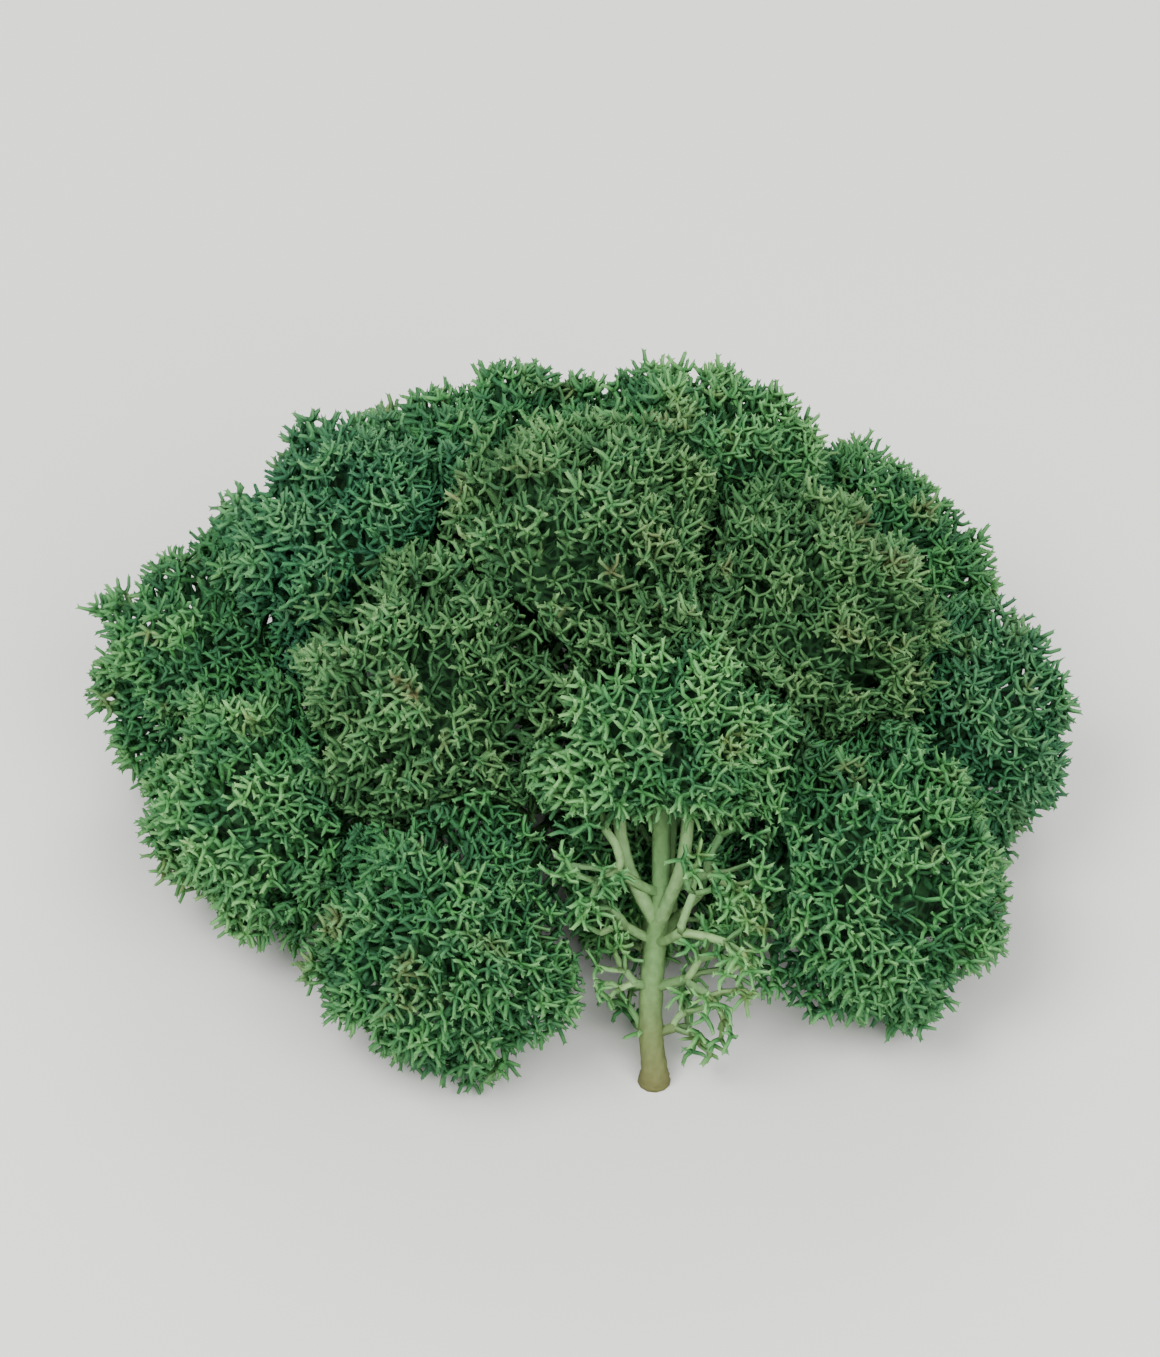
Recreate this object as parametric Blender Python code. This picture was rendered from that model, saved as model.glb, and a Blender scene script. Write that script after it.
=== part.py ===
"""A clump of preserved, green-dyed reindeer moss, the cushion-forming lichen Cladonia stellaris.

The clump is a handful of podetia, which are the upright stalks of the lichen. Each stalk stands on its own
cut foot and ends in a rounded head of short forking branchlets. The heads press against each other and form
one hilly cushion. Metres, +Z up. The origin is the middle of the top podetium's cut foot, on the surface that
the clump rests on. +X runs along the clump's long side, and -Y is its front.
"""

import math
from dataclasses import dataclass, replace

import bmesh
import bpy
import numpy as np
from mathutils import Matrix, Vector

MM = 0.001
SEED = 7

# The podetia: name, middle of the head in mm, radius of the head in mm, the dye's tone
HEADS = (
    ("top_podetium", (0, 0, 32), 15.0, "olive_green"),
    ("open_podetium", (5, -18.5, 27.5), 13.0, "pale_green"),
    ("front_right_podetium", (22, -23, 12.5), 14.6, "leaf_green"),
    ("front_left_podetium", (-13.5, -25.5, 11.5), 13.4, "leaf_green"),
    ("upper_front_left_podetium", (-14, -9.5, 24.5), 13.4, "olive_green"),
    ("left_podetium", (-28.5, -9, 12.5), 13.0, "pale_green"),
    ("upper_right_podetium", (18.5, -4, 25), 14.2, "olive_green"),
    ("upper_left_podetium", (-18.5, 9.5, 26), 14.6, "blue_green"),
    ("right_podetium", (33.8, -3, 11.3), 12.8, "blue_green"),
    ("back_left_podetium", (-32, 11.5, 13), 13.6, "leaf_green"),
    ("upper_back_right_podetium", (12, 14, 27.5), 14.0, "pale_green"),
    ("upper_back_podetium", (-5.5, 19, 24), 13.6, "leaf_green"),
    ("back_right_podetium", (27, 17, 13.5), 14.4, "leaf_green"),
    ("back_podetium", (8, 27.5, 12), 13.4, "blue_green"),
    ("rear_left_podetium", (-13.5, 28, 12), 13.8, "pale_green"),
)

# The stalks fan out from a point under the surface, where the lichen grew before it was cut
ROOT = Vector((0, 0, -15 * MM))

# The open podetium leans back and shows its bare stalk at the front: where it stands, the middle and half
# angle of its room, and its whorls of limbs. A whorl is a share of the way up to the head, a number of limbs,
# how steeply they rise and how far the first is turned round the stalk, in degrees.
OPEN_NAME = "open_podetium"
OPEN_FOOT = Vector((3 * MM, -33 * MM, 0))
OPEN_ROOM_MIDDLE = Vector((4.5 * MM, -25 * MM, 19 * MM))
OPEN_ROOM_ANGLE = math.radians(18)
OPEN_WHORLS = ((0.14, 2, 0.3, -50), (0.28, 3, 0.35, -80), (0.42, 3, 0.42, 120), (0.56, 3, 0.54, 160))

# The open podetium's lower head, on a limb that leaves the stalk backwards at a share of the way up
LOWER_MIDDLE = Vector((4.2 * MM, -17 * MM, 9.5 * MM))
LOWER_RADIUS = 10.5 * MM
LOWER_SHARE = 0.35

# Half of the gap between two podetia that press against each other, and the air under the lowest branchlets
HALF_GAP = 0.17 * MM
AIR_BELOW = 0.6 * MM

# How softly the cushion's surface runs from one head to the next
BLEND = 2.2 * MM
MOST_REACH = 1.35

# A head's core. Its radius swells and sinks by the lump share and shrinks to the inner share on the stalk's
# side. A head is fully pressed by its neighbour at the pressed depth under the cushion's surface.
CORE_POINTS = 44
CORE_JITTER = 0.14
CORE_LUMP = 0.06
LUMP_WAVES = (5.1, 3.7, 4.3)
CORE_INNER_SHARE = 0.62
CORE_LEAST_SHARE = 0.5
PRESSED_DEPTH = 4.0 * MM

# A star of branchlets on the core: a stem with three prongs round a dimple, as shares of its reach and of
# its own face's width. No star grows on the stalk's side of the head.
BRANCHLET_REACH = 4.2 * MM
STEM_SHARE = 0.45
STEM_WIDTH_SHARE = 0.55
DIMPLE_SHARE = 0.03
PRONG_LEAN = 0.68
PRONG_LEAN_RANGE = (0.85, 1.12)
PRONG_REACH_RANGE = (0.9, 1.08)
STAR_SIZES = (1.0, 0.85, 0.7, 0.55, 0.4)
STALK_SIDE_COSINE = -0.72

# A stalk, and the limbs that it forks into under the head, whose ends sink into the core
STALK_RADIUS = 1.15 * MM
STALK_END_SHARE = 0.2
FOOT_RADIUS = 1.5 * MM
FOOT_HEIGHT = 1.6 * MM
FORK_SHARE = 0.5
LIMBS = 3
LIMB_RADIUS = 0.8 * MM
LIMB_BEND_SHARE = 0.4
LIMB_BEND_WIDTH = 0.24
LIMB_END_WIDTH = 0.3
LIMB_END_DEPTH = 0.1

# The open podetium's limbs in shares of the head's radius, and their twigs in shares of the limb
WHORL_LIMB_RANGE = (0.75, 0.95)
TWIGS = 2
TWIG_RADIUS = 0.55 * MM
TWIG_START = 0.62
TWIG_LENGTH = 0.45
TWIG_SPREAD = 0.8
TWIG_ROOT = 0.2 * MM
TWIG_TAPER = (0.9, 0.4)
TWIG_CLEARANCE = 1.0 * MM

STALK_SIDES = 6
LIMB_SIDES = 5
TWIG_SIDES = 4

# The dye's tones, as linear colours
TONES = {
    "leaf_green": (0.075, 0.165, 0.060),
    "olive_green": (0.105, 0.155, 0.055),
    "blue_green": (0.045, 0.140, 0.070),
    "pale_green": (0.140, 0.240, 0.110),
}
ROUGHNESS = 0.75

GOLDEN_ANGLE = math.pi * (3 - math.sqrt(5))

# A star's triangles. 0 to 2 are its base's corners, 3 to 5 the stem's end, each over the edge that follows
# the corner of its number less 3, 6 is the dimple, and 7 to 9 are the prong tips, each over one corner.
STAR_TRIANGLES = np.array(
    (
        (0, 1, 3), (1, 2, 4), (2, 0, 5),
        (1, 4, 3), (2, 5, 4), (0, 3, 5),
        (5, 3, 7), (3, 6, 7), (6, 5, 7),
        (3, 4, 8), (4, 6, 8), (6, 3, 8),
        (4, 5, 9), (5, 6, 9), (6, 4, 9),
    )
)
STAR_POINTS = 7


@dataclass
class Podetium:
    """One stalk with its head. The room's middle direction and half angle are seen from the root, and its
    limbs and the lumps of its head start at the turn."""

    name: str
    centre: Vector
    radius: float
    tone: str
    foot: Vector
    axis: Vector
    room_axis: Vector
    room_angle: float
    turn: float


def lay_out_podetia():
    """The podetia with their feet. A stalk stands where the line from the root to its head comes up."""
    podetia = []
    for number, (name, centre, radius, tone) in enumerate(HEADS):
        middle = Vector(centre) * MM
        size = radius * MM
        from_root = middle - ROOT
        foot = ROOT + from_root * (-ROOT.z / from_root.z)
        room_axis = from_root.normalized()
        room_angle = math.asin(size / from_root.length)
        if name == OPEN_NAME:
            foot = OPEN_FOOT
            room_axis = (OPEN_ROOM_MIDDLE - ROOT).normalized()
            room_angle = OPEN_ROOM_ANGLE
        axis = (middle - foot).normalized()
        turn = GOLDEN_ANGLE * number
        podetia.append(Podetium(name, middle, size, tone, foot, axis, room_axis, room_angle, turn))
    return podetia


def lower_head(podetia):
    """The open podetium's lower head, whose stalk side is the one that faces the bare stalk."""
    upper = next(podetium for podetium in podetia if podetium.name == OPEN_NAME)
    start = upper.foot.lerp(upper.centre, LOWER_SHARE)
    return replace(upper, centre=LOWER_MIDDLE, radius=LOWER_RADIUS, axis=(LOWER_MIDDLE - start).normalized())


def wall_between(one, other):
    """The normal of the plane through the root that keeps two podetia apart, pointing away from the first.
    It divides the angle between them as their own half angles do."""
    share = one.room_angle / (one.room_angle + other.room_angle)
    seam = one.room_axis.slerp(other.room_axis, share)
    return (other.room_axis - seam * seam.dot(other.room_axis)).normalized()


def walls_of(podetium, podetia):
    """The flat bounds of a podetium's room, as outward normals and offsets: a point p is inside where
    normal . p is at most offset. The last wall is the surface below."""
    normals = [wall_between(podetium, other) for other in podetia if other is not podetium]
    offsets = [normal.dot(ROOT) - HALF_GAP for normal in normals]
    normals.append(Vector((0, 0, -1)))
    offsets.append(-AIR_BELOW)
    return np.array(normals), np.array(offsets)


def room_along(centre, directions, walls):
    """How far one can go from the centre along each direction before meeting a wall."""
    normals, offsets = walls
    closing = directions @ normals.T
    room = offsets - np.asarray(centre) @ normals.T
    return np.where(closing > 1e-6, room / np.maximum(closing, 1e-6), np.inf).min(axis=1)


def smooth_step(low, high, value):
    """0 below low, 1 above high and an even S between them."""
    t = np.clip((value - low) / (high - low), 0, 1)
    return t * t * (3 - 2 * t)


def unit_rows(vectors):
    """Each row at length 1."""
    return vectors / np.linalg.norm(vectors, axis=-1, keepdims=True)


def spread_directions(count, turn, rng):
    """Directions spread evenly over a sphere along a golden spiral, each one shifted a little."""
    k = np.arange(count) + 0.5
    polar = np.arccos(1 - 2 * k / count)
    azimuth = GOLDEN_ANGLE * k + turn
    even = np.column_stack(
        (np.cos(azimuth) * np.sin(polar), np.sin(azimuth) * np.sin(polar), np.cos(polar))
    )
    return unit_rows(even + rng.uniform(-CORE_JITTER, CORE_JITTER, (count, 3)))


def depth_in_head(points, head):
    """How far inside one head each point is, below 0 outside. The head alone is a lumpy ball, smaller
    towards its stalk."""
    gaps = points - np.asarray(head.centre)
    distances = np.linalg.norm(gaps, axis=1)
    directions = gaps / np.maximum(distances, 1e-9)[:, None]
    along = directions @ np.asarray(head.axis)
    shape = CORE_INNER_SHARE + (1 - CORE_INNER_SHARE) * smooth_step(-1.0, -0.1, along)
    lumps = 1 + CORE_LUMP * np.sin(directions @ np.array(LUMP_WAVES) + head.turn)
    return head.radius * shape * lumps - distances


def depth_in_cushion(points, heads):
    """How far inside the cushion each point is. The heads' depths are blended as the logarithm of the sum of
    their exponentials, which fills the valleys between the heads softly."""
    depths = np.array([depth_in_head(points, head) for head in heads])
    deepest = depths.max(axis=0)
    return deepest + BLEND * np.log(np.exp((depths - deepest) / BLEND).sum(axis=0))


def outer_radius(directions, head, heads, walls):
    """How far the head reaches in each direction, to its branchlets' tips: to the cushion's surface, found
    by halving, or to the walls of its room."""
    centre = np.asarray(head.centre)
    near = np.zeros(len(directions))
    far = np.minimum(head.radius * MOST_REACH, room_along(centre, directions, walls))
    inside = depth_in_cushion(centre + directions * far[:, None], heads) > 0
    wall = far.copy()
    for _ in range(24):
        middle = (near + far) / 2
        deep = depth_in_cushion(centre + directions * middle[:, None], heads) > 0
        near = np.where(deep, middle, near)
        far = np.where(deep, far, middle)
    return np.where(inside, wall, near)


def core_radius(directions, head, heads, walls):
    """The head's core in each direction. It reaches the head's outside where a neighbour's head presses on
    it, and stays back by the branchlets' reach where it is free."""
    outer = outer_radius(directions, head, heads, walls)
    outside = np.asarray(head.centre) + directions * outer[:, None]
    free = 1 - smooth_step(0, PRESSED_DEPTH, depth_in_cushion(outside, heads))
    return np.maximum(outer - BRANCHLET_REACH * free, CORE_LEAST_SHARE * outer)


def hull_triangles(points):
    """The triangles of the points' convex hull, with their corners counterclockwise from outside."""
    bm = bmesh.new()
    for point in points:
        bm.verts.new(point)
    bmesh.ops.convex_hull(bm, input=bm.verts)
    bmesh.ops.recalc_face_normals(bm, faces=bm.faces)
    bm.verts.index_update()
    triangles = np.array([[vert.index for vert in face.verts] for face in bm.faces])
    bm.free()
    return triangles


def raised(points, height):
    """The points moved away from the head's middle by a height."""
    return points * (1 + height / np.linalg.norm(points, axis=-1, keepdims=True))


def star_points(corners, size, reach, lean):
    """The seven points of the star on each triangle, seen from the head's middle: three of the stem's end,
    one dimple and three prong tips. Each is a mix of the triangle's corners drawn outwards, so a star stays
    in the cone over its own triangle and can't meet the next one."""
    middle = corners.mean(axis=1, keepdims=True)
    edge_middle = (corners + np.roll(corners, -1, axis=1)) / 2
    height = BRANCHLET_REACH * size
    stem = raised(middle + STEM_WIDTH_SHARE * (edge_middle - middle), height * STEM_SHARE)
    dimple = raised(middle, height * (STEM_SHARE - DIMPLE_SHARE))
    tips = raised(middle + lean[:, :, None] * (corners - middle), height * reach[:, :, None])
    return np.concatenate((stem, dimple, tips), axis=1)


def fitting_stars(corners, head, walls, rng):
    """Each triangle's star at the largest size that its room allows, and which triangles have one."""
    normals, offsets = walls
    count = len(corners)
    reach = rng.uniform(*PRONG_REACH_RANGE, (count, 3))
    lean = PRONG_LEAN * rng.uniform(*PRONG_LEAN_RANGE, (count, 3))
    faces_out = unit_rows(corners.mean(axis=1)) @ np.asarray(head.axis) > STALK_SIDE_COSINE
    stars = np.zeros((count, STAR_POINTS, 3))
    starred = np.zeros(count, dtype=bool)
    for size in STAR_SIZES:
        points = star_points(corners, size, reach, lean)
        fits = ((points + np.asarray(head.centre)) @ normals.T <= offsets).all(axis=(1, 2))
        chosen = fits & faces_out & ~starred
        stars[chosen] = points[chosen]
        starred |= chosen
    return stars, starred


def head_core(head, heads, walls, rng):
    """The head's core with its stars of branchlets, as one closed mesh."""
    turned = np.array(head.axis.to_track_quat("Z", "Y").to_matrix())
    directions = spread_directions(CORE_POINTS, rng.uniform(0, 2 * math.pi), rng) @ turned.T
    triangles = hull_triangles(directions)
    core = directions * core_radius(directions, head, heads, walls)[:, None]
    stars, starred = fitting_stars(core[triangles], head, walls, rng)
    first = len(core) + STAR_POINTS * np.arange(starred.sum())
    corners = np.hstack((triangles[starred], first[:, None] + np.arange(STAR_POINTS)))
    faces = np.vstack((triangles[~starred], corners[:, STAR_TRIANGLES].reshape(-1, 3)))
    points = np.vstack((core, stars[starred].reshape(-1, 3))) + np.asarray(head.centre)
    mesh = bpy.data.meshes.new(head.name)
    mesh.from_pydata(points.tolist(), [], faces.tolist())
    return mesh


def tube(path, radii, sides):
    """A closed tube along a path with flat ends. Its first ring is level where the path starts upright."""
    bm = bmesh.new()
    rings = []
    across = Vector((0.9, 0.3, 0.3))
    for i, (point, radius) in enumerate(zip(path, radii)):
        along = (path[min(i + 1, len(path) - 1)] - path[max(i - 1, 0)]).normalized()
        across = (across - along * across.dot(along)).normalized()
        other = along.cross(across)
        angles = [2 * math.pi * k / sides for k in range(sides)]
        rings.append(
            [bm.verts.new(point + (across * math.cos(a) + other * math.sin(a)) * radius) for a in angles]
        )
    for low, high in zip(rings, rings[1:]):
        for k in range(sides):
            bm.faces.new((low[k], low[(k + 1) % sides], high[(k + 1) % sides], high[k]))
    bm.faces.new(list(reversed(rings[0])))
    bm.faces.new(rings[-1])
    bmesh.ops.triangulate(bm, faces=bm.faces)
    mesh = bpy.data.meshes.new("tube")
    bm.to_mesh(mesh)
    bm.free()
    return mesh


def side_directions(axis, count, turn):
    """Unit vectors square to an axis, spread evenly round it."""
    across = axis.orthogonal().normalized()
    other = axis.cross(across)
    angles = [turn + 2 * math.pi * k / count for k in range(count)]
    return [across * math.cos(a) + other * math.sin(a) for a in angles]


def stalk_tubes(podetium):
    """The stalk from its flat foot up into the head's core, and the limbs that leave it at its fork."""
    foot = podetium.foot
    head = podetium.centre
    size = podetium.radius
    end = head - podetium.axis * (size * STALK_END_SHARE)
    fork = foot.lerp(end, FORK_SHARE)
    path = (foot, foot + Vector((0, 0, FOOT_HEIGHT)), fork, end)
    tubes = [tube(path, (FOOT_RADIUS, STALK_RADIUS, STALK_RADIUS, LIMB_RADIUS), STALK_SIDES)]
    start = fork - podetium.axis * (STALK_RADIUS / 2)
    for side in side_directions(podetium.axis, LIMBS, podetium.turn):
        bend = start.lerp(head, LIMB_BEND_SHARE) + side * (size * LIMB_BEND_WIDTH)
        limb_end = head - podetium.axis * (size * LIMB_END_DEPTH) + side * (size * LIMB_END_WIDTH)
        tubes.append(tube((start, bend, limb_end), (LIMB_RADIUS,) * 3, LIMB_SIDES))
    return tubes


def reach_within(start, direction, length, walls):
    """The length, or what the walls leave of it with the twigs' clearance."""
    normals, offsets = walls
    room = room_along(start, np.array([direction]), (normals, offsets - TWIG_CLEARANCE))
    return min(length, float(room[0]))


def whorl_tubes(podetium, walls, rng):
    """The limbs that stand out of the open podetium's bare stalk, with twigs at their ends."""
    tubes = []
    for share, count, rise, turn in OPEN_WHORLS:
        start = podetium.foot.lerp(podetium.centre, share)
        for side in side_directions(podetium.axis, count, math.radians(turn)):
            out = (side + podetium.axis * rise).normalized()
            longest = podetium.radius * rng.uniform(*WHORL_LIMB_RANGE)
            length = reach_within(start, out, longest, walls)
            fork = start + out * (length * TWIG_START)
            tubes.append(tube((start, fork), (LIMB_RADIUS, TWIG_RADIUS), LIMB_SIDES))
            for twig_side in side_directions(out, TWIGS, rng.uniform(0, math.pi)):
                twig = (twig_side * TWIG_SPREAD + out).normalized()
                end = fork + twig * reach_within(fork, twig, length * TWIG_LENGTH, walls)
                radii = [TWIG_RADIUS * taper for taper in TWIG_TAPER]
                tubes.append(tube((fork - twig * TWIG_ROOT, end), radii, TWIG_SIDES))
    return tubes


def union_of(core, others):
    """The mesh of one closed body made of a core and the tubes and other cores that meet it."""
    body = bpy.data.objects.new("body", core)
    bpy.context.scene.collection.objects.link(body)
    repeats = bpy.data.collections.new("repeats")
    bpy.context.scene.collection.children.link(repeats)
    for mesh in others:
        repeats.objects.link(bpy.data.objects.new("repeat", mesh))
    union = body.modifiers.new("union", "BOOLEAN")
    union.operation = "UNION"
    union.operand_type = "COLLECTION"
    union.collection = repeats
    union.solver = "EXACT"
    graph = bpy.context.evaluated_depsgraph_get()
    merged = bpy.data.meshes.new_from_object(body.evaluated_get(graph))
    for helper in [body, *repeats.objects]:
        bpy.data.objects.remove(helper)
    bpy.data.collections.remove(repeats)
    return merged


def dyed_lichen(tone):
    """The matt surface of preserved lichen in one of the dye's tones."""
    name = "dyed_lichen_" + tone
    material = bpy.data.materials.get(name)
    if material is None:
        material = bpy.data.materials.new(name)
        material.use_nodes = True
        shader = material.node_tree.nodes["Principled BSDF"]
        shader.inputs["Base Color"].default_value = (*TONES[tone], 1)
        shader.inputs["Roughness"].default_value = ROUGHNESS
        shader.inputs["Metallic"].default_value = 0.0
    return material


def build_podetium(podetium, podetia, lower, rng):
    """One podetium as one closed body, whose own origin is the middle of its foot."""
    walls = walls_of(podetium, podetia)
    heads = [*podetia, lower]
    core = head_core(podetium, heads, walls, rng)
    others = stalk_tubes(podetium)
    if podetium.name == OPEN_NAME:
        others += whorl_tubes(podetium, walls, rng)
        start = podetium.foot.lerp(podetium.centre, LOWER_SHARE)
        others.append(tube((start, lower.centre), (LIMB_RADIUS,) * 2, LIMB_SIDES))
        others.append(head_core(lower, heads, walls, rng))
    mesh = union_of(core, others)
    mesh.name = podetium.name
    mesh.transform(Matrix.Translation(-podetium.foot))
    mesh.materials.clear()
    mesh.materials.append(dyed_lichen(podetium.tone))
    body = bpy.data.objects.new(podetium.name, mesh)
    body.location = podetium.foot
    bpy.context.scene.collection.objects.link(body)


def main():
    for thing in list(bpy.data.objects):
        bpy.data.objects.remove(thing)
    rng = np.random.default_rng(SEED)
    podetia = lay_out_podetia()
    lower = lower_head(podetia)
    for podetium in podetia:
        build_podetium(podetium, podetia, lower, rng)


main()
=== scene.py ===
"""Looks of a clump of preserved, green-dyed reindeer moss.

Each plain CAD podetium is replaced by the same one grown fine: a cut stalk that forks into limbs, strands
that fork again and again through the head, and at every end a small whorl of prongs with split tips. The
sizes are in millimetres, and the meshes are made in metres in the frame of the CAD.
"""

import logging
import math
from dataclasses import dataclass, field
from enum import Enum

import bmesh
import bpy
import numpy as np
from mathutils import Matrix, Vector


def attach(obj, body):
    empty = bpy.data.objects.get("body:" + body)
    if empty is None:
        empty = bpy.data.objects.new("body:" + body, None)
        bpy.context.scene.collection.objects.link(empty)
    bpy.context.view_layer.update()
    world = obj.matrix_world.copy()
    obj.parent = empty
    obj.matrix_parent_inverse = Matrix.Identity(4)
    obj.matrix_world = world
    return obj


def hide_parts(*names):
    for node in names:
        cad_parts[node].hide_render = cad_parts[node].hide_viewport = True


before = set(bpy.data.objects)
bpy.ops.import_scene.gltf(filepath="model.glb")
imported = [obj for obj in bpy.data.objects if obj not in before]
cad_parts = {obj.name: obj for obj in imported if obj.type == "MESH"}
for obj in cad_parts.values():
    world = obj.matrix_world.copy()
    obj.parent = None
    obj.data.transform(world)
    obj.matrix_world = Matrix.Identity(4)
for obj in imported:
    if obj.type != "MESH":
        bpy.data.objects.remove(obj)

MM = 0.001
SEED = 20
GOLDEN_ANGLE = math.pi * (3 - math.sqrt(5))
BALL_VOLUME = 4.19

Array = np.ndarray
Span = tuple[float, float]
Triple = tuple[float, float, float]
Line = tuple[Array, Array]
Marks = tuple[Array | float, Array | float, Array | float]
Socket = bpy.types.NodeSocket

log = logging.getLogger("moss_clump")


class Tone(Enum):
    """The tones that the dye takes from podetium to podetium, named as the material slots."""

    LEAF_GREEN = "leaf_green"
    OLIVE_GREEN = "olive_green"
    BLUE_GREEN = "blue_green"
    PALE_GREEN = "pale_green"


class Mark(Enum):
    """What each point of a strand carries for the material to read."""

    # Painted shade: a point's depth, with more in valleys, creases and the hollow, which is laid darker
    PAINTED_SHADE = "painted_shade"
    TIP = "tip"
    SHADE = "shade"
    BARE = "bare"


CORE_MARKS = {Mark.TIP: -1.0, Mark.SHADE: 0.5, Mark.BARE: 0.0}


def unit(vectors: Array) -> Array:
    """Vectors brought to length 1.

    Args:
        vectors: Any array whose last axis holds x, y and z.

    Returns:
        The same directions at length 1.
    """
    return vectors / np.maximum(np.linalg.norm(vectors, axis=-1, keepdims=True), 1e-9)


def smooth_step(low: float, high: float, value: Array) -> Array:
    """An even S from 0 to 1: three times the squared share less twice its cube.

    Args:
        low: Where the step starts.
        high: Where it ends.
        value: The values to map.

    Returns:
        0 below low, 1 above high and the S between them.
    """
    share = np.clip((value - low) / (high - low), 0, 1)
    return share * share * (3 - 2 * share)


def linear_colour(code: str) -> tuple[float, float, float, float]:
    """Turns an sRGB hex code into the linear colour that a shader takes.

    Args:
        code: Six hex digits after a hash sign.

    Returns:
        Linear red, green and blue with an alpha of 1.
    """
    parts = (int(code[i : i + 2], 16) / 255 for i in (1, 3, 5))
    return (*(p / 12.92 if p <= 0.04045 else ((p + 0.055) / 1.055) ** 2.4 for p in parts), 1.0)


def across_pair(axes: Array) -> Line:
    """Two directions square to each axis and to each other: the cross products with the less aligned of two
    fixed directions, and then with the first result.

    Args:
        axes: Unit vectors.

    Returns:
        The two directions, so that the first, the second and the axis are right-handed.
    """
    helper = np.where(np.abs(axes[..., 2:3]) < 0.8, (0.0, 0.0, 1.0), (1.0, 0.0, 0.0))
    first = unit(np.cross(helper, axes))
    return first, np.cross(axes, first)


def along_curves(curves: Array, shares: Array) -> Line:
    """Points and directions along cubic curves. The point at share t is the sum of a curve's four control
    points weighted by (1-t)^3, 3(1-t)^2 t, 3(1-t)t^2 and t^3.

    Args:
        curves: Four control points for each curve.
        shares: The shares of the way along.

    Returns:
        The points and the unit directions, for each curve at each share.
    """
    t = shares[:, None]
    weights = np.hstack(((1 - t) ** 3, 3 * (1 - t) ** 2 * t, 3 * (1 - t) * t**2, t**3))
    slopes = np.hstack((-((1 - t) ** 2), (1 - t) * (1 - 3 * t), t * (2 - 3 * t), t**2))
    return np.einsum("rc,ncx->nrx", weights, curves), unit(np.einsum("rc,ncx->nrx", slopes, curves))


def along_path(places: Array, rings: int) -> Line:
    """Points and directions along one smooth path. Each stretch is a cubic curve that passes a place in the
    direction from the place before it to the one after it, with its inner control points a third of the
    stretch's length from its ends.

    Args:
        places: The places that the path goes through, in order.
        rings: How many points each stretch has.

    Returns:
        The points and the unit directions, with the last place's own at the end.
    """
    ways = unit(np.gradient(places, axis=0))
    third = np.linalg.norm(np.diff(places, axis=0), axis=1, keepdims=True) / 3
    starts, ends = places[:-1], places[1:]
    curves = np.stack((starts, starts + ways[:-1] * third, ends - ways[1:] * third, ends), axis=1)
    middles, tangents = along_curves(curves, np.arange(rings) / rings)
    last_middle, last_tangent = along_curves(curves[-1:], np.array((1.0,)))
    middles = np.vstack((middles.reshape(-1, 3), last_middle[0]))
    return middles[None], np.vstack((tangents.reshape(-1, 3), last_tangent[0]))[None]


@dataclass(frozen=True)
class Head:
    """One podetium's head: its node, its middle and radius, and its tone."""

    name: str
    middle: Triple
    radius: float
    tone: Tone


HEADS = (
    Head("top_podetium", (0, 0, 32), 15.0, Tone.OLIVE_GREEN),
    Head("open_podetium", (5, -18.5, 27.5), 13.0, Tone.PALE_GREEN),
    Head("front_right_podetium", (22, -23, 12.5), 14.6, Tone.LEAF_GREEN),
    Head("front_left_podetium", (-13.5, -25.5, 11.5), 13.4, Tone.LEAF_GREEN),
    Head("upper_front_left_podetium", (-14, -9.5, 24.5), 13.4, Tone.OLIVE_GREEN),
    Head("left_podetium", (-28.5, -9, 12.5), 13.0, Tone.PALE_GREEN),
    Head("upper_right_podetium", (18.5, -4, 25), 14.2, Tone.OLIVE_GREEN),
    Head("upper_left_podetium", (-18.5, 9.5, 26), 14.6, Tone.BLUE_GREEN),
    Head("right_podetium", (33.8, -3, 11.3), 12.8, Tone.BLUE_GREEN),
    Head("back_left_podetium", (-32, 11.5, 13), 13.6, Tone.LEAF_GREEN),
    Head("upper_back_right_podetium", (12, 14, 27.5), 14.0, Tone.PALE_GREEN),
    Head("upper_back_podetium", (-5.5, 19, 24), 13.6, Tone.LEAF_GREEN),
    Head("back_right_podetium", (27, 17, 13.5), 14.4, Tone.LEAF_GREEN),
    Head("back_podetium", (8, 27.5, 12), 13.4, Tone.BLUE_GREEN),
    Head("rear_left_podetium", (-13.5, 28, 12), 13.8, Tone.PALE_GREEN),
)


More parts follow.
